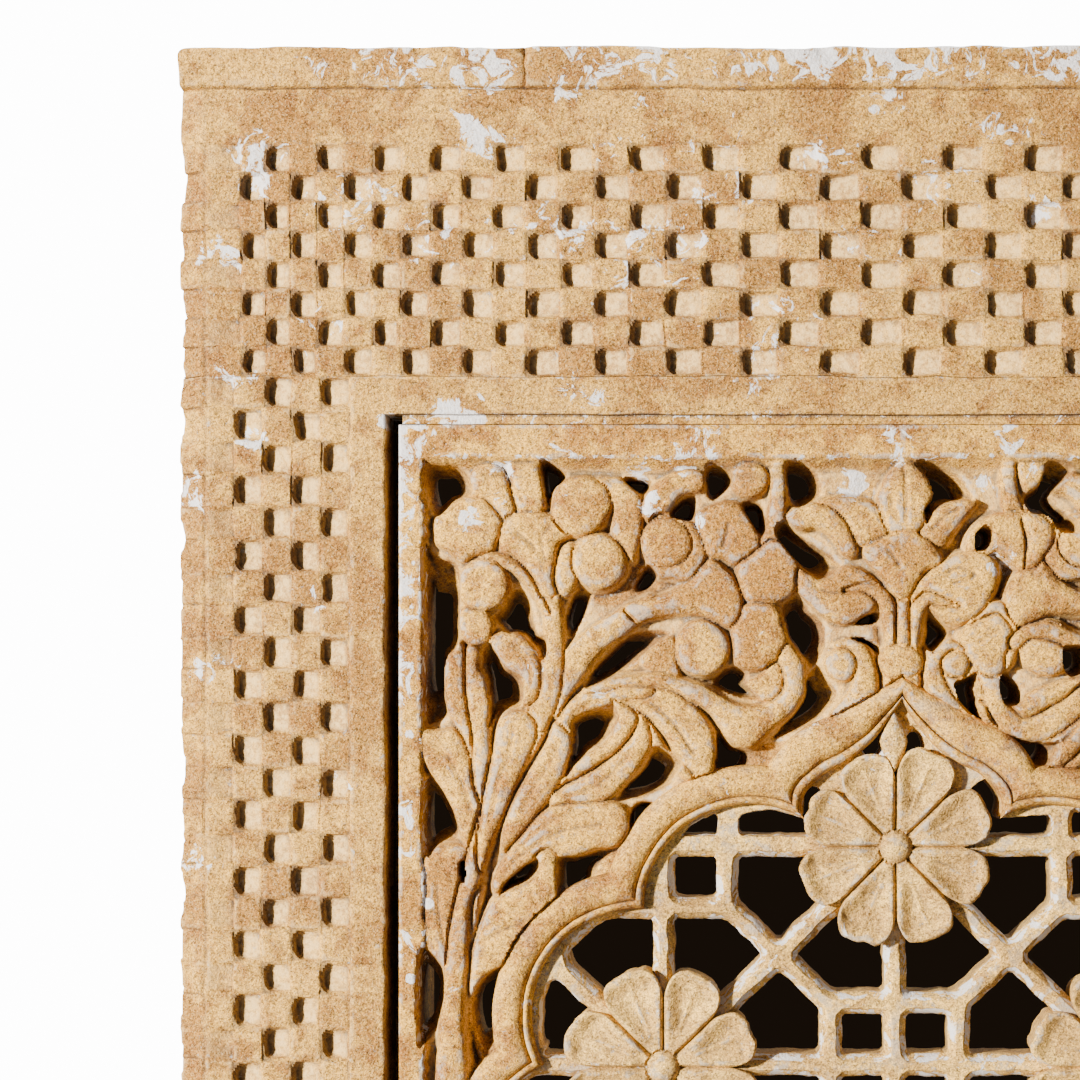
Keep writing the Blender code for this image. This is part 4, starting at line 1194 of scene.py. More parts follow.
def lines_between(edges: Sequence[float], parts: int, ease: float) -> Array:
    """Grid lines over cells, crowded towards the cells' edges.

    Args:
        edges: the lines between the cells.
        parts: lines per cell, the first on its edge.
        ease: how far a line keeps from the edge, 0 to 1; smaller crowds more.

    Returns:
        All the lines, the last edge among them. A line's share of its cell is t - k sin(2 pi t) / 2 pi.
    """
    t = np.arange(parts) / parts
    t = t - (1 - ease) * np.sin(2 * np.pi * t) / (2 * np.pi)
    edges = np.asarray(edges, float)
    return np.append((edges[:-1, None] + (edges[1:] - edges[:-1])[:, None] * t).ravel(), edges[-1])


@dataclass
class Chip:
    """A bite out of the stone: a shallow bowl with a ragged rim."""

    x: float
    z: float
    radius: float
    depth: float


@dataclass
class Border:
    """The border stone: its head above the slab, and the sides and foot round the opening.

    Depths, corners and the groove are in mm. Past the depth of the recess the stone is the ledge on
    which the slab lies.
    """

    finish: Finish
    face: float = 2.0
    check_depth: float = 7.0
    round_off: float = 2.2
    near_corner: float = 6.6
    far_corner: float = 2.8
    groove: float = 1.7
    strip_block: float = 0.0202
    cell_parts: int = 12
    ease: float = 0.62
    recess: float = 20.0
    ledge_dirt: float = 0.55
    rim_reach: float = 0.006
    crack_x: float = -0.2345
    chips: tuple = (
        Chip(-0.2345, 1.005, 0.006, 3.0), Chip(-0.45, 0.672, 0.010, 3.5), Chip(-0.45, 0.70, 0.007, 3.0),
        Chip(-0.30, 1.005, 0.008, 2.0), Chip(-0.05, 1.005, 0.012, 2.2), Chip(0.12, 1.003, 0.010, 2.5),
        Chip(0.31, 1.004, 0.012, 2.4), Chip(0.45, 0.81, 0.011, 3.4), Chip(0.45, 0.43, 0.012, 3.0),
        Chip(-0.45, 0.22, 0.012, 3.2), Chip(0.2, 0.078, 0.010, 2.0), Chip(-0.12, 0.0, 0.012, 2.2),
    )
    patches: str = """
        -0.273,0.776,0.020,0.62 -0.272,0.957,0.013,0.5 -0.010,0.970,0.016,0.5 0.085,0.905,0.016,0.5
        -0.402,0.923,0.020,0.44 -0.405,0.760,0.016,0.5 -0.320,0.772,0.008,0.8 -0.140,0.945,0.060,0.22
        -0.17,0.87,0.045,0.26 0.25,0.93,0.04,0.3 -0.085,0.83,0.04,0.32 -0.36,0.55,0.03,0.22
        0.40,0.6,0.03,0.3 -0.36,0.83,0.03,0.30 -0.02,0.88,0.03,0.32 -0.31,0.993,0.026,0.42
        -0.262,0.992,0.026,0.50 -0.205,0.984,0.022,0.44 -0.355,0.990,0.012,0.40 -0.335,0.905,0.035,0.40
        -0.30,0.89,0.03,0.36 -0.22,0.895,0.04,0.38 -0.15,0.885,0.03,0.42 -0.11,0.915,0.03,0.36
        -0.05,0.94,0.025,0.42 0.02,0.92,0.03,0.34 -0.40,0.94,0.02,0.5 -0.425,0.875,0.02,0.42
        -0.415,0.80,0.02,0.36 -0.26,0.945,0.02,0.5 0.06,0.955,0.02,0.45 -0.09,0.79,0.025,0.36
        -0.20,0.79,0.02,0.4 -0.44,0.73,0.02,0.4 -0.43,0.62,0.02,0.36 -0.44,0.50,0.02,0.4
        -0.37,0.66,0.02,0.3"""

    def top_edges(self) -> Array:
        """The x between the cells of the top rows: an edge cell, then cells that widen to the middle."""
        cells = CELLS_ACROSS // 2 - 1
        growth = 2 * ((HALF - EDGE_STRIP - EDGE_CELL) / cells - NARROW_CELL) / (cells - 1)
        widths = np.concatenate([[EDGE_CELL], NARROW_CELL + growth * np.arange(cells)])
        left = -HALF + EDGE_STRIP + np.concatenate([[0], np.cumsum(widths)])[:-1]
        return np.concatenate([left, [0.0], -left[::-1]])

    def side_edges(self) -> Array:
        """The x between the cells of the left columns."""
        return -HALF + EDGE_STRIP + SIDE_COLUMN * np.arange(SIDE_COLUMNS + 1)

    def side_rows(self) -> Array:
        """The z between the rows of the side columns, from the top down."""
        rows = round((ROWS_FOOT - PEDESTAL) / SIDE_ROW)
        return ROWS_FOOT - (ROWS_FOOT - PEDESTAL) / rows * np.arange(rows + 1)

    def checks(self, x: Array, z: Array) -> tuple:
        """Depth in mm and values of the checks.

        Args:
            x: first coordinate of the points, before they are warped.
            z: second one.

        Returns:
            The depth in mm, and the `floor`, `dirt` and `tone` values. A raised cell is a cushion. A sunk
            one is a pit with rounded corners and a floor that rises away from its near side, and the
            outermost cells run out to the edge strip. Each pit is darkened next to its wall on the key
            light's side, as painted shadow.
        """
        depth, floor, dirt = np.full(x.shape, self.face), np.zeros(x.shape), np.zeros(x.shape)
        tone = np.zeros(x.shape)
        right = (x > 0) & (z < ROWS_FOOT)
        folded = np.where(right, -x, x)
        for zone, edges, rows in (
            (z >= ROWS_FOOT, self.top_edges(), ROWS_TOP - TOP_ROW * np.arange(TOP_ROWS + 1)),
            (z < ROWS_FOOT, self.side_edges(), self.side_rows()),
        ):
            column = np.searchsorted(edges, np.where(zone, folded, FAR_OFF), "right") - 1
            row = np.searchsorted(-rows, -z, "right") - 1
            ok = zone & (column >= 0) & (column < len(edges) - 1) & (row >= 0) & (row < len(rows) - 1)
            column, row = np.where(ok, column, 0), np.where(ok, row, 0)
            left, wide = edges[column], edges[column + 1] - edges[column]
            high, tall = rows[row], rows[row] - rows[row + 1]
            sunk = (row + column + np.where(right, 1, 0)) % 2 == 0
            seed = column * 7.31 + row * 3.17 + np.where(right, 50, 0)
            less = [np.where(sunk, 0.5 + 0.7 * noise(seed, seed * 1.7, 1.0, 51 + k), 0) for k in range(4)]
            a, b = (folded - left) / MM - less[0], (wide - (folded - left)) / MM - less[1]
            c, d = (high - z) / MM - less[2], (tall - (high - z)) / MM - less[3]
            outer = np.where(column == 0, 1.0, 0.0)
            lit, far = np.where(right, b, a), np.where(right, a, b)
            corner = np.where(lit < far, self.near_corner, self.far_corner) + 1.0 * noise(seed, seed, 1.0, 5)
            gap_x, gap_z = np.minimum(a, b), np.minimum(c, d)
            inward = corner - np.hypot(np.maximum(corner - gap_x, 0), np.maximum(corner - gap_z, 0))
            inward = np.minimum(inward, np.minimum(gap_x, gap_z)) + 0.45 * noise(x, z, 0.0045, 3, 2)
            tilt = noise(seed + 0.5, seed, 1.0, 9) * (a - b) / 34
            tilt = tilt + noise(seed, seed + 0.5, 1.0, 13) * (c - d) / 34
            cushion = self.face + 0.4 * noise(seed, seed, 1.0, 21) + tilt
            cushion = cushion + 0.9 * shoulder(np.minimum(gap_x, gap_z) / self.round_off)
            across = 1 - 0.60 * smooth(lit / (lit + far), 0.15, 1.0)
            down = 1 - 0.5 * np.abs(1 - 2 * c / (c + d)) ** 3
            rim = self.face + 0.9
            bed = rim + (self.check_depth + 1.3 * noise(seed, seed, 1.0, 31)) * across * down
            sunk_depth = rim + (bed - rim) * smooth(inward, 0.1, 1.5) + 0.35 * noise(x * 0.35, z, 0.0024, 17)
            open_cell = self.face + 0.4 + 2.4 * smooth(gap_z, 0.0, 1.4) * smooth(a / (a + b), 0.1, 0.9)
            sunk_depth = np.where(outer > 0, open_cell + 0.3 * noise(x, z, 0.005, 19, 2), sunk_depth)
            depth = np.where(ok, np.where(sunk, sunk_depth, cushion), depth)
            floor = np.where(ok & sunk, smooth(inward, 0.9, 2.0) * (1 - 0.7 * outer), floor)
            # Painted shadow: each pit is darkened within 3.5 to 7 mm of its wall on the key light's side,
            # except in the outermost cells.
            shaded = 0.9 * (1 - smooth(lit, 3.5, 7.0))
            dirt = np.where(ok & sunk & (outer == 0), shaded, dirt)
            tone = np.where(ok & ~sunk, 0.85 * noise(seed * 1.3, seed, 1.0, 47), tone)
        open_left = (x < -HALF + EDGE_STRIP) | (x > HALF - EDGE_STRIP)
        return np.where(open_left, self.face, depth), {"floor": floor, "dirt": dirt, "tone": tone}

    def depth(self, x: Array, z: Array) -> tuple:
        """Depth in mm and values of the whole front of the border, at points not yet warped."""
        depth, marks = self.checks(x, z)
        ax = np.abs(x)
        strip = np.clip((ax - (HALF - EDGE_STRIP)) / EDGE_STRIP, 0, 1)
        rolls = noise(z * 0 + np.sign(x), z, 0.021, 41) + 0.5 * noise(x, z, 0.009, 43)
        sloped = (z > PLINTH) & (z < HEIGHT - TOP_STRIP)
        groove = self.groove * bell(ax - (HALF - EDGE_STRIP), 0.0010)
        order = np.where(z > ROWS_FOOT, (ROWS_TOP - z) / TOP_ROW, (ROWS_FOOT - z) / self.strip_block)
        cell = order % 1.0
        pillow = shoulder(np.minimum(cell, 1 - cell) / 0.16) * smooth(strip, 0.05, 0.5)
        edge = self.face + 0.2 + 7.0 * strip ** 1.35 + (1.2 * rolls + 0.5) * smooth(strip, 0, 0.4) + groove
        edge = edge + 1.5 * pillow + 1.5 * (np.floor(order) % 2) * smooth(strip, 0.04, 0.2)
        depth = np.where(sloped & (strip > 0), edge, depth + np.where(sloped, groove * 0.5, 0))
        joint = 0.7 * smooth(np.minimum(cell, 1 - cell), 0.07, 0.0) * (strip > 0)
        joint = np.maximum(groove / self.groove, joint)
        marks["dirt"] = np.where(sloped, np.maximum(marks["dirt"], 0.5 * joint), marks["dirt"])
        marks["tone"] = marks["tone"] + np.where(sloped, 0.45 * smooth(strip, 0.0, 0.15), 0.0)
        # Painted shade: the head above the side rows takes more patina, so that it reads darker than the
        # sides nearer the key light; the border's tone is lowered a little over all.
        marks["tone"] = marks["tone"] + 0.30 * smooth(z, ROWS_FOOT - 0.02, ROWS_FOOT + 0.02) - 0.12
        top = HEIGHT - TOP_STRIP
        depth = np.where(z >= top, 0.5, depth)
        band = (z < top) & (z >= ROWS_TOP) & (strip <= 0)
        depth = np.where(band, self.face + 0.9 * smooth(z, ROWS_TOP + 0.004, ROWS_TOP - 0.001), depth)
        depth = depth + 2.4 * bell(z - top + 0.0006, 0.0012) * (z < top + 0.002)
        depth = np.where(z < PLINTH, 0.5, depth)
        depth = depth + 1.6 * bell(z - PLINTH, 0.0014)
        fillet = np.minimum(np.minimum(OPENING_HALF + SIDE_FILLET - ax, z - SILL), ROWS_FOOT - z) / MM
        edge_out = 1.5 * shoulder(np.maximum(fillet, 0) / 2.2)
        past = np.maximum(np.maximum(ax - OPENING_HALF, z - OPENING_TOP), OPENING_FOOT - z)
        edge_in = 1.2 * shoulder(past / MM / 2.4)
        depth = np.where(fillet > 0, 0.35 + edge_out + edge_in, depth)
        in_x, in_z = ax < OPENING_HALF, (z < OPENING_TOP) & (z > OPENING_FOOT)
        depth = np.where(in_x & in_z, LEDGE / MM, depth)
        bed = (z < OPENING_TOP) & (z >= SLAB_TOP + CLEARANCE)
        bed = bed | (z > OPENING_FOOT) & (z <= SLAB_FOOT - CLEARANCE)
        depth = np.where(in_x & bed & (ax < SLAB_HALF), 5.0, depth)
        marks["floor"] = np.where(depth > self.recess, 0, marks["floor"])
        # Painted shade: the slot and the ledge behind the slab are darkened as if in shadow.
        marks["dirt"] = np.where(depth > self.recess, self.ledge_dirt, marks["dirt"])
        pale = 0.24 * marks["floor"] * smooth(noise(x, z, 0.045, 79, 2), -0.1, 0.5) * smooth(z, 0.70, 0.90)
        # Lime is kept out of the painted shade and dirt.
        marks["lime"] = np.maximum(self.lime(x, z), pale) * (1 - 0.95 * marks["dirt"])
        return depth, marks

    def lime(self, x: Array, z: Array) -> Array:
        """Where lime plaster is left: along the top strip, in the bed joint and in a few patches."""
        streaks = noise(x, z * 0, 0.085, 77, 2) + 0.4 * smooth(x, -0.33, -0.2) - 0.6 * smooth(x, -0.29, -0.42)
        top = smooth(z, HEIGHT - 0.0262, HEIGHT - 0.019) * smooth(streaks, -0.2, 0.5) * 0.45
        joint = (np.abs(x) < SLAB_HALF) & (z < OPENING_TOP) & (z > SLAB_TOP)
        return np.maximum(np.maximum(top, np.where(joint, 0.26, 0)), spots(x, z, self.patches, 1.5, 0.3))

    def block(self, xs: Array, zs: Array, keep: Callable, name: str) -> bpy.types.Object:
        """Build one closed block of the border from its grid lines.

        Args:
            xs: the lines across.
            zs: the lines from the top down.
            keep: says of cell middles (x, z) whether there is stone.
            name: the piece's name.

        Returns:
            The piece. The lines are warped by smooth noise, so that no edge runs quite straight, and
            the outermost ones are drawn in by up to 5 mm.
        """
        gx, gz = (a.ravel() for a in np.meshgrid(xs, zs))
        depth, marks = self.depth(gx, gz)
        inner = smooth(np.minimum(np.abs(np.abs(gx) - HALF), np.minimum(HEIGHT - gz, gz)), 0, 0.012)
        plain = np.where((np.abs(gx) < OPENING_HALF) & (gz < OPENING_TOP + 0.001), 0.35, 1.0)
        x = gx + inner * plain * 0.0016 * noise(gx, gz, 0.021, 101, 3)
        z = gz + inner * plain * 0.0014 * noise(gx, gz, 0.023, 151, 3)
        ragged = np.clip(0.0004 + 0.0036 * noise(gx * 0 + np.sign(gx), gz, 0.017, 61, 3), 0, 0.0040)
        bulge = 0.0011 * (np.floor((ROWS_TOP - gz) / TOP_ROW) % 2) * (gz < ROWS_TOP)
        rise = np.clip((gz - HEIGHT) / 0.005 + 1, 0, 1)
        ragged = ragged + bulge + 0.0045 * (1 - np.sqrt(1 - rise ** 2))
        x = x - np.sign(gx) * ragged * smooth(np.abs(gx), HALF - EDGE_STRIP, HALF)
        ragged = np.clip(0.0008 + 0.0022 * noise(gx, gz * 0, 0.035, 63, 4), 0, 0.003)
        z = z - ragged * smooth(gz, HEIGHT - 0.012, HEIGHT)
        for chip in self.chips:
            gap = np.hypot(x - chip.x, z - chip.z) / chip.radius + 0.35 * noise(x, z, 0.006, 71)
            depth = depth + chip.depth * smooth(gap, 1.0, 0.35) * (depth < self.recess)
        crack = bell(x - self.crack_x + 0.0012 * noise(z, z, 0.006, 81), 0.0007)
        depth = depth + 2.0 * crack * smooth(z, 0.978, 0.981)
        rough = 0.45 * noise(x, z, 0.016, 91, 3) + 0.22 * noise(x, z, 0.004, 95, 2)
        depth = np.where(depth < self.recess, np.maximum(depth + rough, 0.02), depth)
        columns, rows = len(xs), len(zs)
        corner = cell_corners(columns, rows)
        middle = (gx[corner] + gx[corner + columns + 1]) / 2, (gz[corner] + gz[corner + columns + 1]) / 2
        corner = corner[keep(*middle)]
        quads = np.column_stack([corner, corner + columns, corner + columns + 1, corner + 1])
        used, faces = np.unique(split_quads(quads), return_inverse=True)
        faces = faces.reshape(-1, 3)
        front = Shape(world_points(x[used], z[used], depth[used] * MM), faces,
                      {mark: values[used] for mark, values in marks.items()})

        def side(px: Array, pz: Array, level: float) -> tuple:
            """Dress the outer sides roughly; the seam between the blocks stays flat."""
            amount = 0.0016 * math.sin(math.pi * min(level, 0.98)) ** 0.5
            push = np.abs(noise(px + level, pz, 0.03, 201, 3)) * amount
            outer = np.abs(px) > HALF - self.rim_reach
            nx = px - np.where(outer, np.sign(px) * push, 0)
            nz = pz - np.where(pz > HEIGHT - self.rim_reach, push, 0)
            return nx, nz

        shape = solid(front, THICKNESS, (0.03, 0.1, 0.22, 0.36, 0.52, 0.7, 0.88, 0.985, 1.0), side)
        return add_piece(name, shape, self.finish, "border_frame")

    def build(self) -> list:
        """Build the head and the surround."""
        strip = np.linspace(0, EDGE_STRIP, 9)[:-1]
        left = -HALF + strip
        tops = lines_between(self.top_edges(), self.cell_parts, self.ease)
        xs = np.concatenate([left, tops, -left[::-1]])
        band = np.array([0, 0.6, 1.6, 3.2, 5, 7.5, 12, 17, 21, 23.7, 24.7, 25.4, 26.2, 27.5, 31, 36, 42, 48,
                         54, 57.5, 59.2]) / 1000
        rows = lines_between(ROWS_TOP - TOP_ROW * np.arange(TOP_ROWS + 1), self.cell_parts, self.ease)
        zs = np.concatenate([HEIGHT - band, rows])
        head = self.block(xs, zs, lambda x, z: np.full(x.shape, True), "border_head")
        columns = lines_between(self.side_edges(), self.cell_parts, self.ease)
        fillet = -OPENING_HALF - SIDE_FILLET + np.array([
            0.0008, 0.0018, 0.0035, 0.007, 0.011, 0.015, 0.0185, 0.0200, 0.0209, SIDE_FILLET])
        slot = np.array([-OPENING_HALF + 0.0005, -SLAB_HALF - 0.001, -SLAB_HALF, -SLAB_HALF + 0.002,
                         -SLAB_HALF + SIGHT])
        side = np.concatenate([left, columns, fillet, slot])
        middle = np.linspace(-SLAB_HALF + SIGHT, SLAB_HALF - SIGHT, 150)[1:-1]
        xs = np.concatenate([side, middle, -side[::-1]])
        rows = lines_between(self.side_rows(), self.cell_parts, self.ease)
        extra = [OPENING_TOP + 0.0004, OPENING_TOP - 0.0002, OPENING_TOP + 0.0012, OPENING_TOP + 0.0028,
                 SLAB_TOP + 0.0006, SLAB_TOP - 0.0001, SLAB_TOP - SIGHT, ROWS_FOOT - 0.0008,
                 ROWS_FOOT - 0.0018]
        low = [0.25, 0.235, 0.215, 0.195, 0.175, SLAB_FOOT + SIGHT, SLAB_FOOT, SLAB_FOOT - 0.0005,
               OPENING_FOOT + 0.0002, OPENING_FOOT - 0.0006, OPENING_FOOT - 0.002, 0.131, 0.124,
               SILL + 0.003, SILL + 0.0015, SILL + 0.0006, SILL, SILL - 0.002, 0.108, 0.098, 0.088, 0.082,
               0.0798, 0.0788, PLINTH, 0.0772, 0.0762, 0.073, 0.062, 0.047, 0.031, 0.015, 0.006, 0.002, 0.0]
        zs = np.sort(np.unique(np.round(np.concatenate([rows, extra, low]), 6)))[::-1]
        zs = zs[np.concatenate([[True], np.abs(np.diff(zs)) > 0.00015])]

        def stone(x: Array, z: Array) -> Array:
            """Everything but the sight opening."""
            return ~((np.abs(x) < SLAB_HALF - SIGHT) & (z > SLAB_FOOT + SIGHT) & (z < SLAB_TOP - SIGHT))

        return [head, self.block(xs, zs, stone, "border_surround")]


# ---------------------------------------------------------------- the slab


@dataclass
class Spandrels:
    """The slab's carved face, in a left and a right piece: margins, ground, plants, finial and jambs."""

    finish: Finish
    step: float = 1.95
    ground: float = 13.5
    seat: float = 22.0
    cut_share: float = 0.60
    cut_shift: float = 0.09
    cut_depth: float = 27.0
    jamb_from: float = 1250.0
    cap_height: float = 0.016
    panel_inset: float = 22.0
    patches: str = """
        427,905,9,0.66 402,430,9,0.7 409,735,8,0.6 419,1040,8,0.5 410,979,8,0.7 988,482,16,0.6
        852,482,26,0.5 700,440,60,0.36 560,436,30,0.3 900,440,40,0.34 1010,438,26,0.5 900,696,12,0.62
        470,520,22,0.5 500,470,20,0.5 925,720,20,0.36 1030,470,16,0.42 770,470,16,0.4 452,985,20,0.3
        436,525,16,0.44 500,500,20,0.4 650,505,20,0.4 640,470,20,0.42 560,490,18,0.38 600,700,18,0.34
        700,520,24,0.38 760,640,18,0.36 540,660,22,0.34 1000,560,26,0.4 1120,560,26,0.36
        1230,440,50,0.4 1385,700,24,0.5 1250,600,30,0.35"""

    def __post_init__(self) -> None:
        """Gather the forms and the holes of both sides."""
        mirrored = []
        for form in LEFT_FORMS:
            if form.mirrored:
                name = "line" if hasattr(form, "line") else "outline"
                points = right_place([p[:2] for p in getattr(form, name)])
                rows = tuple((*p, *old[2:]) for p, old in zip(points.tolist(), getattr(form, name)))
                mirrored.append(type(form)(**{**form.__dict__, name: rows}))
        self.forms = list(LEFT_FORMS) + mirrored + list(RIGHT_FORMS) + list(FINIAL_FORMS)
        self.holes = [smooth_line(hole, 4, True) for hole in LEFT_HOLES + FINIAL_HOLES + RIGHT_HOLES]
        for hole in LEFT_HOLES:
            loop = smooth_line(right_place(hole), 4, True)
            if loop[:, 0].min() > SEEN_TO:
                self.holes.append(loop)
        self.arch_edge = ARCH.opening(38, CARVED_FOOT)
        seat, inner = ARCH.half(self.seat), ARCH.half(0)[-1, 0]
        self.arch_seat = both_halves(np.vstack([seat, [inner, seat[-1, 1]], [inner, CARVED_FOOT]]))

    @staticmethod
    def near(loop: Array, u: Array, v: Array, reach: float) -> Array:
        """Which points lie within a reach of a loop's box."""
        low, high = loop.min(0) - reach, loop.max(0) + reach
        return (u > low[0]) & (u < high[0]) & (v > low[1]) & (v < high[1])

    def hole_gap(self, u: Array, v: Array) -> tuple:
        """Where the recesses between the plants are, and where they are cut through.

        Args:
            u: first grid coordinate of the points.
            v: second one.

        Returns:
            The distance to the nearest recess, negative inside it and no more than 12, and the same for
            the cut. The cut is the recess drawn in to its middle and set to the left, so that the lit
            side slopes, and it keeps 2.5 units inside the mouth.
        """
        mouth, cut = np.full(u.shape, 12.0), np.full(u.shape, 12.0)
        wu, wv = self.wander(u, v)
        for hole in self.holes:
            here = np.flatnonzero(self.near(hole, u, v, 14))
            if len(here):
                centre, width = hole.mean(0), np.ptp(hole[:, 0])
                small = centre + (hole - centre) * self.cut_share - [self.cut_shift * width, 0]
                gap = -loop_distance(hole, wu[here], wv[here])
                inner = np.maximum(-loop_distance(small, wu[here], wv[here]), gap + 2.5)
                mouth[here] = np.minimum(mouth[here], gap)
                cut[here] = np.minimum(cut[here], inner)
        return mouth, cut

    def wander(self, u: Array, v: Array) -> tuple:
        """Shift points by smooth noise, so that outlines look cut by hand."""
        return (u + 1.3 * noise(u, v, 46, 301) + 0.5 * noise(u, v, 13, 303),
                v + 1.3 * noise(u, v, 46, 305) + 0.5 * noise(u, v, 13, 307))

    def stone(self, u: Array, v: Array) -> Array:
        """Distance into the stone from the arch's opening and the holes."""
        gap = self.hole_gap(u, v)[1]
        here = self.near(self.arch_seat, u, v, 14)
        arch = np.full(u.shape, 12.0)
        arch[here] = np.minimum(-loop_distance(self.arch_seat, u[here], v[here]), 12.0)
        return np.minimum(gap, arch)

    def depth(self, u: Array, v: Array) -> tuple:
        """Depths of the carved face.

        Args:
            u: first grid coordinate of the points.
            v: second one.

        Returns:
            The depth in mm, and the `lime`, `floor` and `dirt` values. The forms are laid over the ground
            one after another, then come the margins, the moulding's bed, the jambs and the holes' edges.
            The recesses and the deep ground carry painted shade with some dirt, the tooled strokes dirt.
        """
        wu, wv = self.wander(u, v)
        ground = self.ground + 1.2 * noise(u, v, 30, 311, 2)
        sunk = 6.0 * smooth(v, 1130, 1100) * smooth(noise(u, v, 70, 317), -0.1, 0.5)
        depth = ground + sunk
        for form in self.forms:
            box = np.array(form.outline, float)
            here = self.near(box, wu, wv, form.reach())
            if here.any():
                depth[here] = form.apply(wu[here], wv[here], depth[here])
        lift = 0.5 * noise(u, v, 34, 323, 2) + 0.25 * noise(u, v, 8, 327, 2)
        depth = depth + lift + 0.22 * noise(u, v, 4.4, 329, 2)
        side = np.abs(u - AXIS)
        wave = 2.2 * noise(v, side * 0, 26, 331, 2) + 1.4 * noise(v, side * 0, 7, 337)
        bite = 5.5 * bell(v - 979, 9)
        margin = side - CARVED_HALF + wave - bite
        top = (GRID_TOP + 33.5 - v) + 1.6 * noise(u, v * 0, 30, 341, 3)
        foot = v - CARVED_FOOT + 1.2 * noise(u, v * 0, 30, 347)
        inward = np.maximum(np.maximum(margin, top), foot)
        rim = 1.5 + 1.7 * shoulder(inward / 4.0) + 0.35 * noise(u, v, 40, 351, 3)
        outer = np.minimum(np.minimum(GRID_HALF - side, v - GRID_TOP), GRID_FOOT - v)
        rim = rim + 1.4 * shoulder(outer / 3.0)
        steep = np.where(top > margin, 0.75, 2.4)
        depth = np.where(inward >= 0, rim, np.minimum(depth, 3.4 + steep * np.abs(inward)))
        strokes = noise(u * 0.1, v, 3.4, 379, 2)
        tooled = smooth(-top, 0, 4) * smooth(-top, 26, 16) * (margin < 0)
        depth = self.jambs(u, v, depth + tooled * 0.8 * strokes)
        arch = np.full(u.shape, -20.0)
        here = self.near(self.arch_edge, u, v, 20)
        arch[here] = loop_distance(self.arch_edge, u[here], v[here])
        seat = np.maximum(depth, 9.0 + 1.2 * np.maximum(arch, -1))
        depth = np.where((arch > -1) & (v < self.jamb_from), seat, depth)
        gap, cut = self.hole_gap(u, v)
        depth = depth + 1.6 * shoulder(np.maximum(gap, 0) / 3.4)
        inside = np.maximum(-gap, 0)
        share = inside / np.maximum(inside + np.maximum(cut, 0), 0.1)
        recess = 8.5 + self.cut_depth * share ** 0.5 + 1.1 * noise(u, v, 7, 363, 2) * smooth(share, 0, 0.3)
        depth = np.where(gap < 0, np.maximum(depth, recess), depth)
        lime = spots(u, v, self.patches, 1.0, 0.35)
        lime = np.maximum(lime, 0.36 * smooth(np.abs(inward - 1), 6, 1) * (inward > -3) * (v < 1400))
        streak = 0.46 * smooth(side, 484, 492) * smooth(noise(u * 0, v, 60, 371, 3), -0.25, 0.35)
        corner = 0.5 * smooth(np.hypot(u - 425, (v - 440) * 1.3), 48, 10)
        lime = np.maximum(lime, np.maximum(streak, corner) * (inward > -4))
        floor = smooth(depth, 9.5, 12.5) * smooth(depth, 17, 15) * 0.75
        # Painted shade with some dirt: the recesses darken towards their cut-through part and the ground past
        # 16 mm deep, broken up by noise; the tooled strokes of the top margin take dirt.
        dirt = np.maximum(smooth(share, 0.05, 0.6), 0.5 * smooth(depth, 16, 21))
        dirt = dirt * smooth(noise(u, v, 16, 365, 2), -1.0, 0.1)
        dirt = np.maximum(dirt, 0.5 * tooled * smooth(strokes, -0.3, 0.5))
        return np.maximum(depth, 0.25), {"lime": lime, "floor": floor, "dirt": dirt}

    def jambs(self, u: Array, v: Array, depth: Array) -> Array:
        """Plain pilasters below the arch: a cap, a shaft with a sunk panel, and a base."""
        spring, inner = ARCH.cusp(ARCH.lobes)[1], AXIS - ARCH.half(0)[-1, 0]
        side, cap, inset = np.abs(u - AXIS), self.cap_height / RISE, self.panel_inset
        inside = np.minimum(side - inner, CARVED_HALF - side)
        shaft = 7.6 + 1.6 * shoulder(inside / 5)
        panel = np.minimum(v - spring - cap - inset, CARVED_FOOT - cap - inset - v)
        panel = np.minimum(panel, inside - inset)
        shaft = shaft + 2.2 * smooth(panel, -1.5, 1.5)
        zone = (v > spring - cap / 4) & (v < CARVED_FOOT) & (side > inner - 1)
        depth = np.where(zone, np.minimum(shaft, depth + FAR_OFF), depth)
        for start, end in ((spring - cap / 4, spring + cap), (CARVED_FOOT - cap, CARVED_FOOT)):
            level = np.minimum(v - start, end - v)
            roll = 4.2 + 1.6 * shoulder(np.maximum(level, 0) / 5) + 1.8 * bell(v - end + 9, 2.0)
            depth = np.where((level >= 0) & (side > inner - 1) & (side < CARVED_HALF), roll, depth)
        return depth

    def half(self, left: bool) -> bpy.types.Object:
        """Build the piece on one side of the axis: its cut grid, its walls, and its flat back."""
        across = np.concatenate([[0, 1.0, 2.2, 3.8], np.arange(5.6, GRID_HALF, self.step)])
        across = np.append(across[across < GRID_HALF - 1.4], GRID_HALF)
        us = GRID_LEFT + across if left else (2 * AXIS - GRID_LEFT - across)[::-1]
        spring = ARCH.cusp(ARCH.lobes)[1]
        fine = np.arange(GRID_TOP + 3.8, spring + 32, self.step)
        low = np.arange(fine[-1] + 3, CARVED_FOOT - 30, 5.0)
        ends = np.arange(low[-1] + 2, GRID_FOOT - 3.5, 2.2)
        ends = np.append(ends, [GRID_FOOT - 2.2, GRID_FOOT - 1, GRID_FOOT])
        vs = np.concatenate([[GRID_TOP, GRID_TOP + 1.0, GRID_TOP + 2.2], fine, low, ends])
        u, v, faces = clipped_grid(us, vs, self.stone)
        depth, marks = self.depth(u, v)
        x, z = to_world(u, v)
        front = Shape(world_points(x, z, depth * MM), faces, marks)

        # The walls of the holes are darkened halfway as painted shade.
        shape = solid(front, SLAB_BACK, (0.1, 0.45, 1.0), dirt=0.5)
        name = "carving_left" if left else "carving_right"
        return add_piece(name, shape, self.finish, "jali_slab", 55)

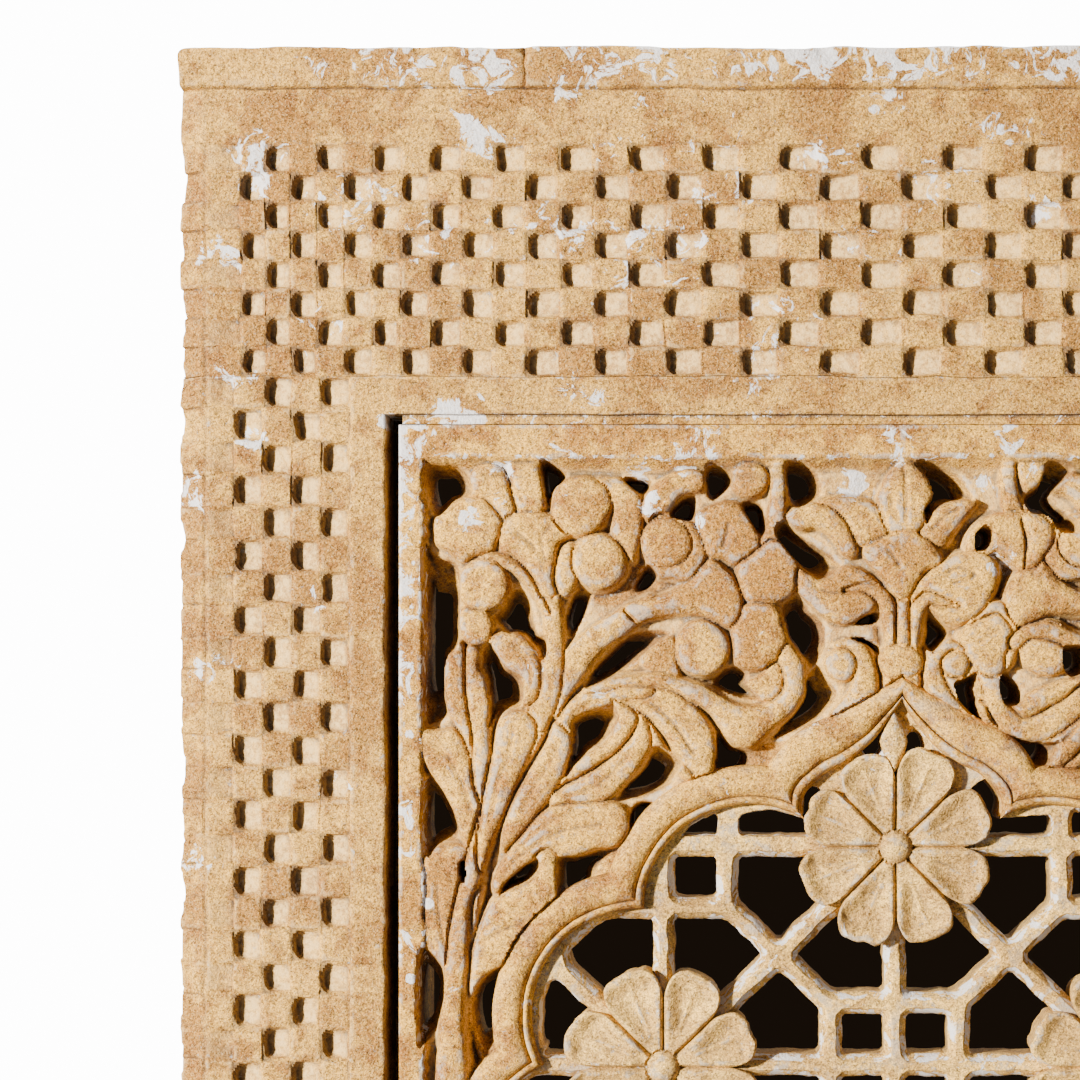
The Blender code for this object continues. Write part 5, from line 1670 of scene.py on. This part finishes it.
    def build(self) -> list:
        """Build both pieces."""
        return [self.half(True), self.half(False)]


@dataclass
class Moulding:
    """The band round the arch: a narrow inner fillet, a fine groove and a broad round.

    Each profile row is an offset outside the arch's edge and a depth in mm. Round the head the band is
    wider: its inner lines move inward, the innermost by the swell.
    """

    finish: Finish
    width: float = 40.0
    fine: int = 26
    profile: tuple = (
        (0.0, 58.7), (0.0, 45.0), (0.0, 28.0), (0.0, 17.0), (0.7, 12.5), (2.0, 9.6), (3.6, 8.0), (5.2, 7.1),
        (6.6, 6.9), (7.8, 7.3), (8.6, 8.4), (9.2, 9.8), (9.9, 8.9), (11.0, 7.4), (13.0, 5.9), (16.0, 4.6),
        (20.0, 3.7), (24.5, 3.4), (29.0, 3.8), (33.0, 4.9), (36.0, 6.5), (38.4, 8.8), (39.6, 11.5),
        (40.0, 15.0), (40.0, 22.0), (38.0, 58.7),
    )
    swell: float = 11.0

    def build(self) -> list:
        """Carry the profile along the whole arch and close its two feet."""
        lines = np.array([ARCH.half(offset, self.fine) for offset, _ in self.profile])
        inner, outer = ARCH.half(0, self.fine), ARCH.half(self.width, self.fine)
        way = (outer - inner) / np.hypot(*(outer - inner).T)[:, None]
        place = np.arange(len(inner)) / self.fine
        swell = self.swell * smooth(place, -0.6, 0.5) * smooth(place, 1.95, 1.2)
        inward = np.array([1 - offset / self.width for offset, _ in self.profile])
        lines = lines - inward[:, None, None] * (way * swell[:, None])
        depths = np.array([depth for _, depth in self.profile])
        left = lines.transpose(1, 0, 2)
        right = left[1:] * [-1, 1] + [2 * AXIS, 0]
        sections = np.concatenate([left[::-1], right])
        count, size = sections.shape[:2]
        u, v = sections[..., 0], sections[..., 1]
        depth = np.broadcast_to(depths, u.shape).copy()
        shown = smooth(depth, 20, 14)
        depth = depth + shown * (0.45 * noise(u, v, 38, 401, 2) + 0.22 * noise(u, v, 9, 405, 2))
        u = u + shown * (0.8 * noise(u, v, 40, 411) + 0.4 * noise(u, v, 11, 413))
        v = v + shown * (0.8 * noise(u, v, 40, 415) + 0.4 * noise(u, v, 11, 417))
        x, z = to_world(u.ravel(), v.ravel())
        points = world_points(x, z, np.maximum(depth.ravel(), 0.25) * MM)
        faces = tube_faces(count, size)
        ends = []
        for ring, turn in ((np.arange(size), 1), (np.arange(size) + (count - 1) * size, -1)):
            fan = np.column_stack([np.full(size - 2, ring[0]), ring[1:-1], ring[2:]])
            ends.append(fan[:, ::-turn])
        faces = np.vstack([faces, *ends])
        a, b, c = (points[faces[:, k]] for k in range(3))
        if (a * np.cross(b, c)).sum() < 0:
            faces = faces[:, ::-1]
        lime = 0.2 * (depth.ravel() > 7.5) * (depth.ravel() < 14)
        shape = Shape(points, faces, {"lime": lime})
        return [add_piece("arch_moulding", shape, self.finish, "jali_slab", 50)]


@dataclass
class Lattice:
    """The pierced plate in the arch: thin bars with chamfered edges round every hole."""

    finish: Finish
    chamfer: float = 7.4
    spacing: float = 3.4
    seat: float = 16.0
    columns: range = range(-2, 3)
    rows: range = range(-1, 4)

    def node(self, column: int, row: int) -> tuple:
        """A crossing of the lattice on the carving grid."""
        x = LATTICE_SHIFT + column * LATTICE_PITCH[0]
        z = SLAB_TOP - LATTICE_TOP_NODE - row * LATTICE_PITCH[1]
        u, v = to_grid(x, z)
        return float(u), float(v)

    @staticmethod
    def clip(polygon: list, origin: tuple, normal: tuple) -> list:
        """The part of a convex polygon on the side of a line that its normal points to."""
        heights = [(x - origin[0]) * normal[0] + (y - origin[1]) * normal[1] for x, y in polygon]
        kept = []
        for index, (point, height) in enumerate(zip(polygon, heights)):
            after, beyond = polygon[(index + 1) % len(polygon)], heights[(index + 1) % len(polygon)]
            if height >= 0:
                kept.append(point)
            if height * beyond < 0:
                share = height / (height - beyond)
                kept.append(tuple(a + (b - a) * share for a, b in zip(point, after)))
        return kept

    def cell(self, column: int, row: int) -> list:
        """The four holes of a cell, between its edge bars, its diagonals and its blocks."""
        names = [(column, row), (column + 1, row), (column + 1, row + 1), (column, row + 1)]
        corners = [self.node(*name) for name in names]
        middle = tuple(sum(corner[i] for corner in corners) / 4 for i in (0, 1))
        bar, holes = BAR_WIDTH / UNIT / 2, []
        for index in range(4):
            after = (index + 1) % 4
            start, end = corners[index], corners[after]
            polygon = list(corners)
            for first, second, inside in ((start, end, middle), (start, middle, end), (end, middle, start)):
                length = math.dist(first, second)
                normal = ((first[1] - second[1]) / length, (second[0] - first[0]) / length)
                if (inside[0] - first[0]) * normal[0] + (inside[1] - first[1]) * normal[1] < 0:
                    normal = (-normal[0], -normal[1])
                polygon = self.clip(polygon, tuple(p + bar * n for p, n in zip(first, normal)), normal)
            for name, node, other in ((names[index], start, end), (names[after], end, start)):
                if sum(name) % 2:
                    along = tuple((o - n) / math.dist(other, node) for o, n in zip(other, node))
                    size = BLOCK[0] / UNIT if abs(along[0]) > abs(along[1]) else BLOCK[1] / RISE
                    reach = (size + 2 * bar) / 2
                    polygon = self.clip(polygon, tuple(n + reach * a for n, a in zip(node, along)), along)
            holes.append(polygon)
        return holes

    def block(self, column: int, row: int) -> list:
        """The four square holes of a block."""
        u, v = self.node(column, row)
        near, wide, tall = BAR_WIDTH / UNIT / 2, BLOCK[0] / UNIT / 2, BLOCK[1] / RISE / 2
        low, far, high = near, wide - near, tall - near
        square = [(near, low), (far, low), (far, high), (near, high)]
        return [[(u + a * p, v + b * q) for p, q in square] for a in (-1, 1) for b in (-1, 1)]

    def ring(self, polygon: list) -> tuple:
        """A hole's rounded edge, and the same edge moved out across the chamfer.

        Args:
            polygon: the hole's corners.

        Returns:
            Two loops with the same number of points: the corners are cut, the sides shared out evenly,
            and each point is moved out along the way from its neighbours' chord.
        """
        p = np.array(polygon, float)
        q = np.roll(p, -1, 0)
        length = np.hypot(*(q - p).T)
        cut = np.minimum(3.2, length * 0.22)[:, None]
        way = (q - p) / length[:, None]
        loop, counts = [], np.maximum(2, length / self.spacing).astype(int)
        for start, end, count in zip(p + way * cut, q - way * cut, counts):
            loop.append(start + (end - start) * np.linspace(0, 1, count + 1)[:, None])
        loop = np.vstack(loop)
        turned = np.roll(loop, -1, 0) - np.roll(loop, 1, 0)
        outward = np.column_stack([turned[:, 1], -turned[:, 0]])
        outward /= np.hypot(*outward.T)[:, None]
        middle = loop.mean(0)
        outward *= np.sign(((loop - middle) * outward).sum(1).mean())
        wave = 1.8 * noise(loop[:, 0], loop[:, 1], 15, 501, 3)[:, None]
        edge = loop + outward * wave
        for _ in range(12):
            if not self.crosses(edge):
                break
            edge = 0.5 * edge + 0.25 * (np.roll(edge, 1, 0) + np.roll(edge, -1, 0))
        width = outward * (self.chamfer + 0.8 * noise(loop[:, 0], loop[:, 1], 17, 505)[:, None])
        for share in (1.0, 0.8, 0.6, 0.4, 0.2):
            if not self.crosses(edge + width * share):
                break
        return edge, edge + width * share

    @staticmethod
    def crosses(loop: Array) -> bool:
        """Whether a closed loop crosses itself: two edges lie on both sides of each other's lines."""
        p, q = loop[:, None], np.roll(loop, -1, 0)[:, None]
        r, t = loop[None], np.roll(loop, -1, 0)[None]

        def turn(a: Array, b: Array, c: Array) -> Array:
            """Which side of the line from a to b point c is on."""
            return np.sign((b[..., 0] - a[..., 0]) * (c[..., 1] - a[..., 1])
                           - (b[..., 1] - a[..., 1]) * (c[..., 0] - a[..., 0]))

        return bool(((turn(p, q, r) * turn(p, q, t) < 0) & (turn(r, t, p) * turn(r, t, q) < 0)).any())

    def build(self) -> list:
        """Build the plate: its face between the chamfers, the chamfers, then walls and back."""
        foot = GRID_FOOT - FOOT_MARGIN / RISE / 2
        outline = ARCH.opening(self.seat, foot)
        outline = outline[(np.arange(len(outline)) % 2 == 0) | (outline[:, 1] > foot - 0.5)]
        shown = ARCH.opening(0, CARVED_FOOT)
        polygons = []
        for row in self.rows:
            for column in self.columns:
                if column + 1 in self.columns and row + 1 in self.rows:
                    polygons += self.cell(column, row)
                if (column + row) % 2:
                    polygons += self.block(column, row)
        holes = []
        for polygon in polygons:
            corners = np.array(polygon)
            gap = loop_distance(shown, corners[:, 0], corners[:, 1])
            middle = corners.mean(0)
            if gap.max() < 6 or (middle[1] < 792 and abs(middle[0] - AXIS) < 75):
                continue
            if gap.min() < 6:
                corners = self.trimmed(corners, shown)
                if corners is None:
                    continue
            holes.append(self.ring(corners.tolist()))
        holes += [self.ring(smooth_line(hole, 2, True).tolist()) for hole in TIP_HOLES]
        loops = [outline] + [outer for _, outer in holes]
        sizes = np.cumsum([0] + [len(loop) for loop in loops])
        flat = np.vstack(loops)
        edges = np.concatenate([np.column_stack([np.arange(a, b), np.roll(np.arange(a, b), -1)])
                                for a, b in zip(sizes, sizes[1:])])
        faces = [fill(flat, edges, False)]
        front = LATTICE_FRONT / MM
        places, depths = [flat], [front + 0.9 * noise(flat[:, 0], flat[:, 1], 33, 511, 3)]
        lime = [np.full(len(flat), 0.12)]
        rim = rim_edges(faces[0])
        rim = rim[(rim >= sizes[1]).all(1)] - sizes[1]
        inner, outer = np.vstack([edge for edge, _ in holes]), flat[sizes[1]:]
        last = sizes[1]
        for share, level in ((0.3, 1.7), (0.65, 3.9), (1.0, 7.2)):
            place = outer + (inner - outer) * share
            places.append(place)
            depths.append(front + level + 0.5 * noise(place[:, 0], place[:, 1], 12, 517, 2))
            lime.append(np.full(len(place), 0.42))
            ring = last + len(inner)
            faces.append(split_quads(np.column_stack([last + rim[:, 1], last + rim[:, 0], ring + rim[:, 0],
                                                      ring + rim[:, 1]])))
            last = ring
        place, depth = np.vstack(places), np.concatenate(depths)
        faces = np.vstack(faces)
        x, z = to_world(place[:, 0], place[:, 1])
        points = world_points(x, z, depth * MM)
        a, b, c = (points[faces[:, k]] for k in range(3))
        if np.cross(b - a, c - a)[:, 1].sum() > 0:
            faces = faces[:, ::-1]
        marks = {"lime": np.concatenate(lime), "dirt": np.zeros(len(points))}
        # The walls of the holes are darkened as painted shade.
        shape = solid(Shape(points, faces, marks), LATTICE_BACK, (0.4, 1.0), dirt=0.6)
        return [add_piece("lattice", shape, self.finish, "jali_slab", 38)]

    @staticmethod
    def trimmed(corners: Array, shown: Array) -> Array | None:
        """A hole cut back to the arch: its points that lie well inside, and those pulled in to there."""
        length = np.hypot(*(np.roll(corners, -1, 0) - corners).T).sum()
        fine = []
        for a, b in zip(corners, np.roll(corners, -1, 0)):
            count = max(2, int(math.dist(a, b) / length * 60))
            fine.append(a + (b - a) * (np.arange(count) / count)[:, None])
        fine = np.vstack(fine)
        middle = corners.mean(0)
        gap = loop_distance(shown, fine[:, 0], fine[:, 1])
        if (gap > 6).sum() < 8:
            return None
        target = fine[gap > 6].mean(0)
        for _ in range(14):
            gap = loop_distance(shown, fine[:, 0], fine[:, 1])
            late = gap < 3
            if not late.any():
                break
            fine[late] += (target - fine[late]) * 0.12
        span = np.ptp(fine, axis=0).min()
        return fine[::3] if span > 7 and math.dist(middle, target) < 80 else None


@dataclass
class Rosettes:
    """Eight spooned petals round a boss, on the lattice's nodes, and the bud under the arch's tip."""

    finish: Finish
    lattice: Lattice
    radius: float = 99.0
    boss: float = 17.5
    rim: float = 6.6
    petals: int = 8
    around: int = 256
    rings: int = 44
    places: tuple = ((0, 0), (-1, 1), (1, 1), (0, 2))

    def body(self, centre: tuple, reach: Callable, depth: Callable, back: float, seed: int) -> Shape:
        """A round body on a polar grid.

        Args:
            centre: its middle on the carving grid.
            reach: outline radius for angles.
            depth: depth in mm for radius, angle and the outline radius there.
            back: depth of its flat back in mm.
            seed: picks its unevenness.

        Returns:
            The closed shape: rings from the middle to the outline, then the side and the back.
        """
        angle = np.arange(self.around) * 2 * np.pi / self.around
        share = np.linspace(0, 1, self.rings + 1)[1:, None]
        share = share + 0.06 * np.sin(2 * np.pi * share) / (2 * np.pi)
        edge = reach(angle)[None, :] * (1 + 0.02 * noise(angle * 3, angle * 0 + seed, 0.7, seed, 2))[None, :]
        r = share * edge
        a = np.broadcast_to(angle, r.shape)
        d = depth(r, a, np.broadcast_to(edge, r.shape))
        du, dv = r * np.cos(a), r * np.sin(a)
        d = d + 0.6 * noise(du + centre[0], dv + centre[1], 22, seed + 3, 2)
        d = d + 0.3 * noise(du, dv, 6, seed + 5, 2)
        tail = [(0.998, 1.6), (0.985, 4.5), (0.97, 12.0), (0.965, back - d[-1].mean())]
        rows_r = np.vstack([r] + [edge * s for s, _ in tail])
        rows_d = np.vstack([d] + [d[-1:] * (1 - (k == 3)) + (drop if k < 3 else back) for k, (_, drop) in
                                  enumerate(tail)])
        rows_a = np.broadcast_to(angle, rows_r.shape)
        u = np.concatenate([[centre[0]], (centre[0] + rows_r * np.cos(rows_a)).ravel(), [centre[0]]])
        v = np.concatenate([[centre[1]], (centre[1] + rows_r * np.sin(rows_a)).ravel(), [centre[1]]])
        d_all = np.concatenate([[float(d[0].mean()) - 0.05], rows_d.ravel(), [back]])
        n, rows = self.around, len(rows_r)
        turn = np.arange(n)
        beside = (turn + 1) % n
        last = 1 + (rows - 1) * n
        faces = np.vstack([
            np.column_stack([np.zeros(n, int), 1 + beside, 1 + turn]),
            tube_faces(rows, n) + 1,
            np.column_stack([np.full(n, last + n), last + turn, last + beside]),
        ])
        x, z = to_world(u, v)
        return Shape(world_points(x, z, d_all * MM), faces, {"lime": np.full(len(x), 0.10)})

    def rosette(self, column: int, row: int) -> Shape:
        """One rosette: spatulate petals with a raised rim, a hollow and a vein, and a round boss."""
        wedge = 2 * np.pi / self.petals
        seed = 600 + 20 * (column + 2) + row

        def off(angle: Array) -> Array:
            """Angle from the middle line of the petal."""
            return (angle % wedge) - wedge / 2

        def reach(angle: Array) -> Array:
            """The petals' outline: full over most of a petal, drawn in to a notch between two."""
            lean = 0.16 * noise(np.floor(angle / wedge) * 2.3, angle * 0 + column + row * 3.7, 1.0, 617)
            aside = off(angle) / (wedge / 2)
            share = np.clip(np.abs(aside + lean * (1 - aside ** 2)), 0, 1)
            petal = np.floor(angle / wedge)
            size = 1 + 0.06 * noise(petal * 1.7, petal * 0 + column * 3.1 + row, 1.0, 611)
            rough = 0.022 * noise(angle * 9, angle * 0 + seed, 1.0, 619, 2)
            return self.radius * size * (1 - 0.03 * share ** 2 - 0.29 * share ** 5 + rough)

        def depth(r: Array, angle: Array, edge: Array) -> Array:
            """Depth over a petal, from the distances to its side, its tip and its middle line."""
            aside = r * np.sin(wedge / 2 - np.abs(off(angle)))
            half = np.maximum(r * np.sin(wedge / 2), 1e-6)
            tip = edge - r
            inward = np.minimum(aside, tip)
            surface = self.rim + 2.6 * shoulder(inward / 5.0)
            across = r * np.sin(off(angle))
            hollow = smooth(inward, 2.5, 19) * smooth(r, 24, 50)
            lean = 0.9 * across / np.maximum(half, 8)
            vein = 1.0 * bell(across, 2.0) * smooth(r, 30, 40) * smooth(tip, 6, 18)
            surface = surface + hollow * (4.6 + lean) - vein
            surface = surface + 2.6 * bell(aside, 2.4)
            surface = surface + 3.0 * smooth(r, 40, 20)
            dome = self.rim - 2.2 + self.boss * 0.62 * (1 - np.sqrt(np.clip(1 - (r / self.boss) ** 2, 0, 1)))
            return np.where(r < self.boss, np.minimum(dome, surface + 2.6), surface)

        return self.body(self.lattice.node(column, row), reach, depth, LATTICE_BACK / MM - 2.5, seed)

    def bud(self) -> Shape:
        """The pointed bud between the arch's tip and the top rosette, a diamond with soft sides."""
        def reach(angle: Array) -> Array:
            """A diamond's outline, 14 wide and 31 tall from its middle."""
            return 1 / ((np.abs(np.cos(angle)) / 14) ** 1.25 + (np.abs(np.sin(angle)) / 31) ** 1.25) ** 0.8

        def depth(r: Array, angle: Array, edge: Array) -> Array:
            """A cushion with a low ridge down its middle."""
            return 9.2 + 3.6 * shoulder((edge - r) / 8) - 1.4 * bell(r * np.cos(angle), 5)

        return self.body((895, 742), reach, depth, LATTICE_BACK / MM - 4.0, 701)

    def build(self) -> list:
        """Build the rosettes and the bud as one piece."""
        shape = self.bud()
        for column, row in self.places:
            shape = shape.joined(self.rosette(column, row))
        return [add_piece("rosettes", shape, self.finish, "jali_slab", 50)]


# ---------------------------------------------------------------- the stage


@dataclass
class Studio:
    """Floor, lights, a pale world, and the camera at the photograph's angle."""

    axis: tuple = (724.0, 670.0)
    frame_px: float = 1080.0
    metres_per_px: float = 0.00062
    distance: float = 1.75
    sensor: float = 36.0

    def camera(self) -> bpy.types.Object:
        """A level camera square to the panel; the shift moves its view from the axis to the middle."""
        data = bpy.data.cameras.new("camera")
        data.sensor_width = self.sensor
        width = self.frame_px * self.metres_per_px
        data.lens = self.sensor * self.distance / width
        data.shift_x = (self.frame_px / 2 - self.axis[0]) / self.frame_px
        data.shift_y = (self.axis[1] - self.frame_px / 2) / self.frame_px
        data.clip_end = 60
        camera = bpy.data.objects.new("camera", data)
        x = (self.axis[0] - AXIS) * self.metres_per_px
        z = (1666 - self.axis[1]) * self.metres_per_px
        camera.location = (x, -THICKNESS / 2 - self.distance, z)
        camera.rotation_euler = (math.pi / 2, 0, 0)
        bpy.context.scene.collection.objects.link(camera)
        bpy.context.scene.camera = camera
        return camera

    def light(self, name: str, place: tuple, aim: tuple, size: float, power: float, colour: tuple) -> None:
        """Add an area light that looks from one point at another."""
        data = bpy.data.lights.new(name, "AREA")
        data.shape = "DISK"
        data.size = size
        data.energy = power
        data.color = colour
        lamp = bpy.data.objects.new(name, data)
        lamp.location = place
        lamp.rotation_euler = (Vector(aim) - Vector(place)).to_track_quat("-Z", "Y").to_euler()
        bpy.context.scene.collection.objects.link(lamp)

    def floor(self) -> None:
        """A pale floor, dull, ending two metres behind the panel."""
        mesh = bpy.data.meshes.new("floor")
        mesh.from_pydata([(-6, -6, 0), (6, -6, 0), (6, 2, 0), (-6, 2, 0)], [], [(0, 1, 2, 3)])
        floor = bpy.data.objects.new("floor", mesh)
        material = bpy.data.materials.new("pale floor")
        material.use_nodes = True
        shader = material.node_tree.nodes["Principled BSDF"]
        shader.inputs["Base Color"].default_value = (0.216, 0.213, 0.21, 1)
        shader.inputs["Roughness"].default_value = 0.8
        mesh.materials.append(material)
        bpy.context.scene.collection.objects.link(floor)

    def world(self) -> None:
        """A pale world, white to the camera, with a dark patch straight behind the panel's openings."""
        world = bpy.data.worlds.new("studio")
        bpy.context.scene.world = world
        world.use_nodes = True
        tree = Tree(world.node_tree)
        tree.tree.nodes.clear()
        way = tree.add("ShaderNodeTexCoord").outputs["Generated"]
        parts = tree.add("ShaderNodeSeparateXYZ", {0: way})
        ahead = tree.math("MAXIMUM", parts.outputs["Y"], 0.001)
        slope_x = tree.math("DIVIDE", parts.outputs["X"], ahead)
        slope_z = tree.math("DIVIDE", parts.outputs["Z"], ahead)
        across = tree.math("ABSOLUTE", tree.math("SUBTRACT", slope_x, 0.008))
        upward = tree.math("ABSOLUTE", tree.plus(slope_z, 0.03))
        dark = tree.times(tree.span(across, 0.150, 0.128), tree.span(upward, 0.165, 0.145))
        dark = tree.times(dark, tree.span(parts.outputs["Y"], 0.2, 0.3))
        seen = tree.add("ShaderNodeLightPath").outputs["Is Camera Ray"]
        pale = tree.mix(seen, (0.60, 0.76, 1.12, 1), (1, 1, 1, 1))
        colour = tree.mix(dark, pale, (0.0008, 0.0005, 0.0003, 1))
        strength = tree.plus(tree.times(seen, 14.0), 0.15)
        back = tree.add("ShaderNodeBackground", {"Color": colour, "Strength": strength})
        out = tree.add("ShaderNodeOutputWorld")
        tree.put(back.outputs[0], out, "Surface")

    def build(self) -> None:
        """Set the whole stage."""
        self.camera()
        self.floor()
        self.world()
        middle = (-0.1, 0.0, 0.6)
        self.light("key", (-2.75, -2.7, 1.12), middle, 0.30, 745, (1.0, 0.97, 0.93))
        self.light("fill", (1.6, -3.0, 1.6), middle, 2.4, 5.0, (0.62, 0.80, 1.0))
        self.light("back", (0.8, 3.2, 2.4), (0, 0, 0.5), 1.6, 64, (1.0, 0.98, 0.95))


def main() -> None:
    """Build the stage and every piece of the panel, and report each one."""
    logging.basicConfig(level=logging.INFO, format="%(message)s")
    Studio().build()
    border = Finish(Tone.BORDER, (0.45, 0.243, 0.044, 1), (0.240, 0.108, 0.019, 1), (0.150, 0.054, 0.012, 1),
                    (0.52, 0.34, 0.14, 1))
    slab = Finish(Tone.SLAB, (0.54, 0.287, 0.044, 1), (0.275, 0.118, 0.018, 1), (0.165, 0.056, 0.012, 1),
                  (0.42, 0.37, 0.30, 1), edge_amount=0.55)
    lattice = Finish(Tone.LATTICE, (0.60, 0.365, 0.090, 1), (0.33, 0.180, 0.046, 1), (0.20, 0.095, 0.028, 1),
                     (0.38, 0.34, 0.28, 1), patina_amount=0.7, blotch_amount=0.5, soot_amount=0.42,
                     lime_spread=0.02)
    plate = Lattice(lattice)
    for maker in (Border(border), Spandrels(slab), Moulding(slab), plate, Rosettes(lattice, plate)):
        for piece in maker.build():
            log.info("built %s", piece.name)


if __name__ == "__main__":
    main()
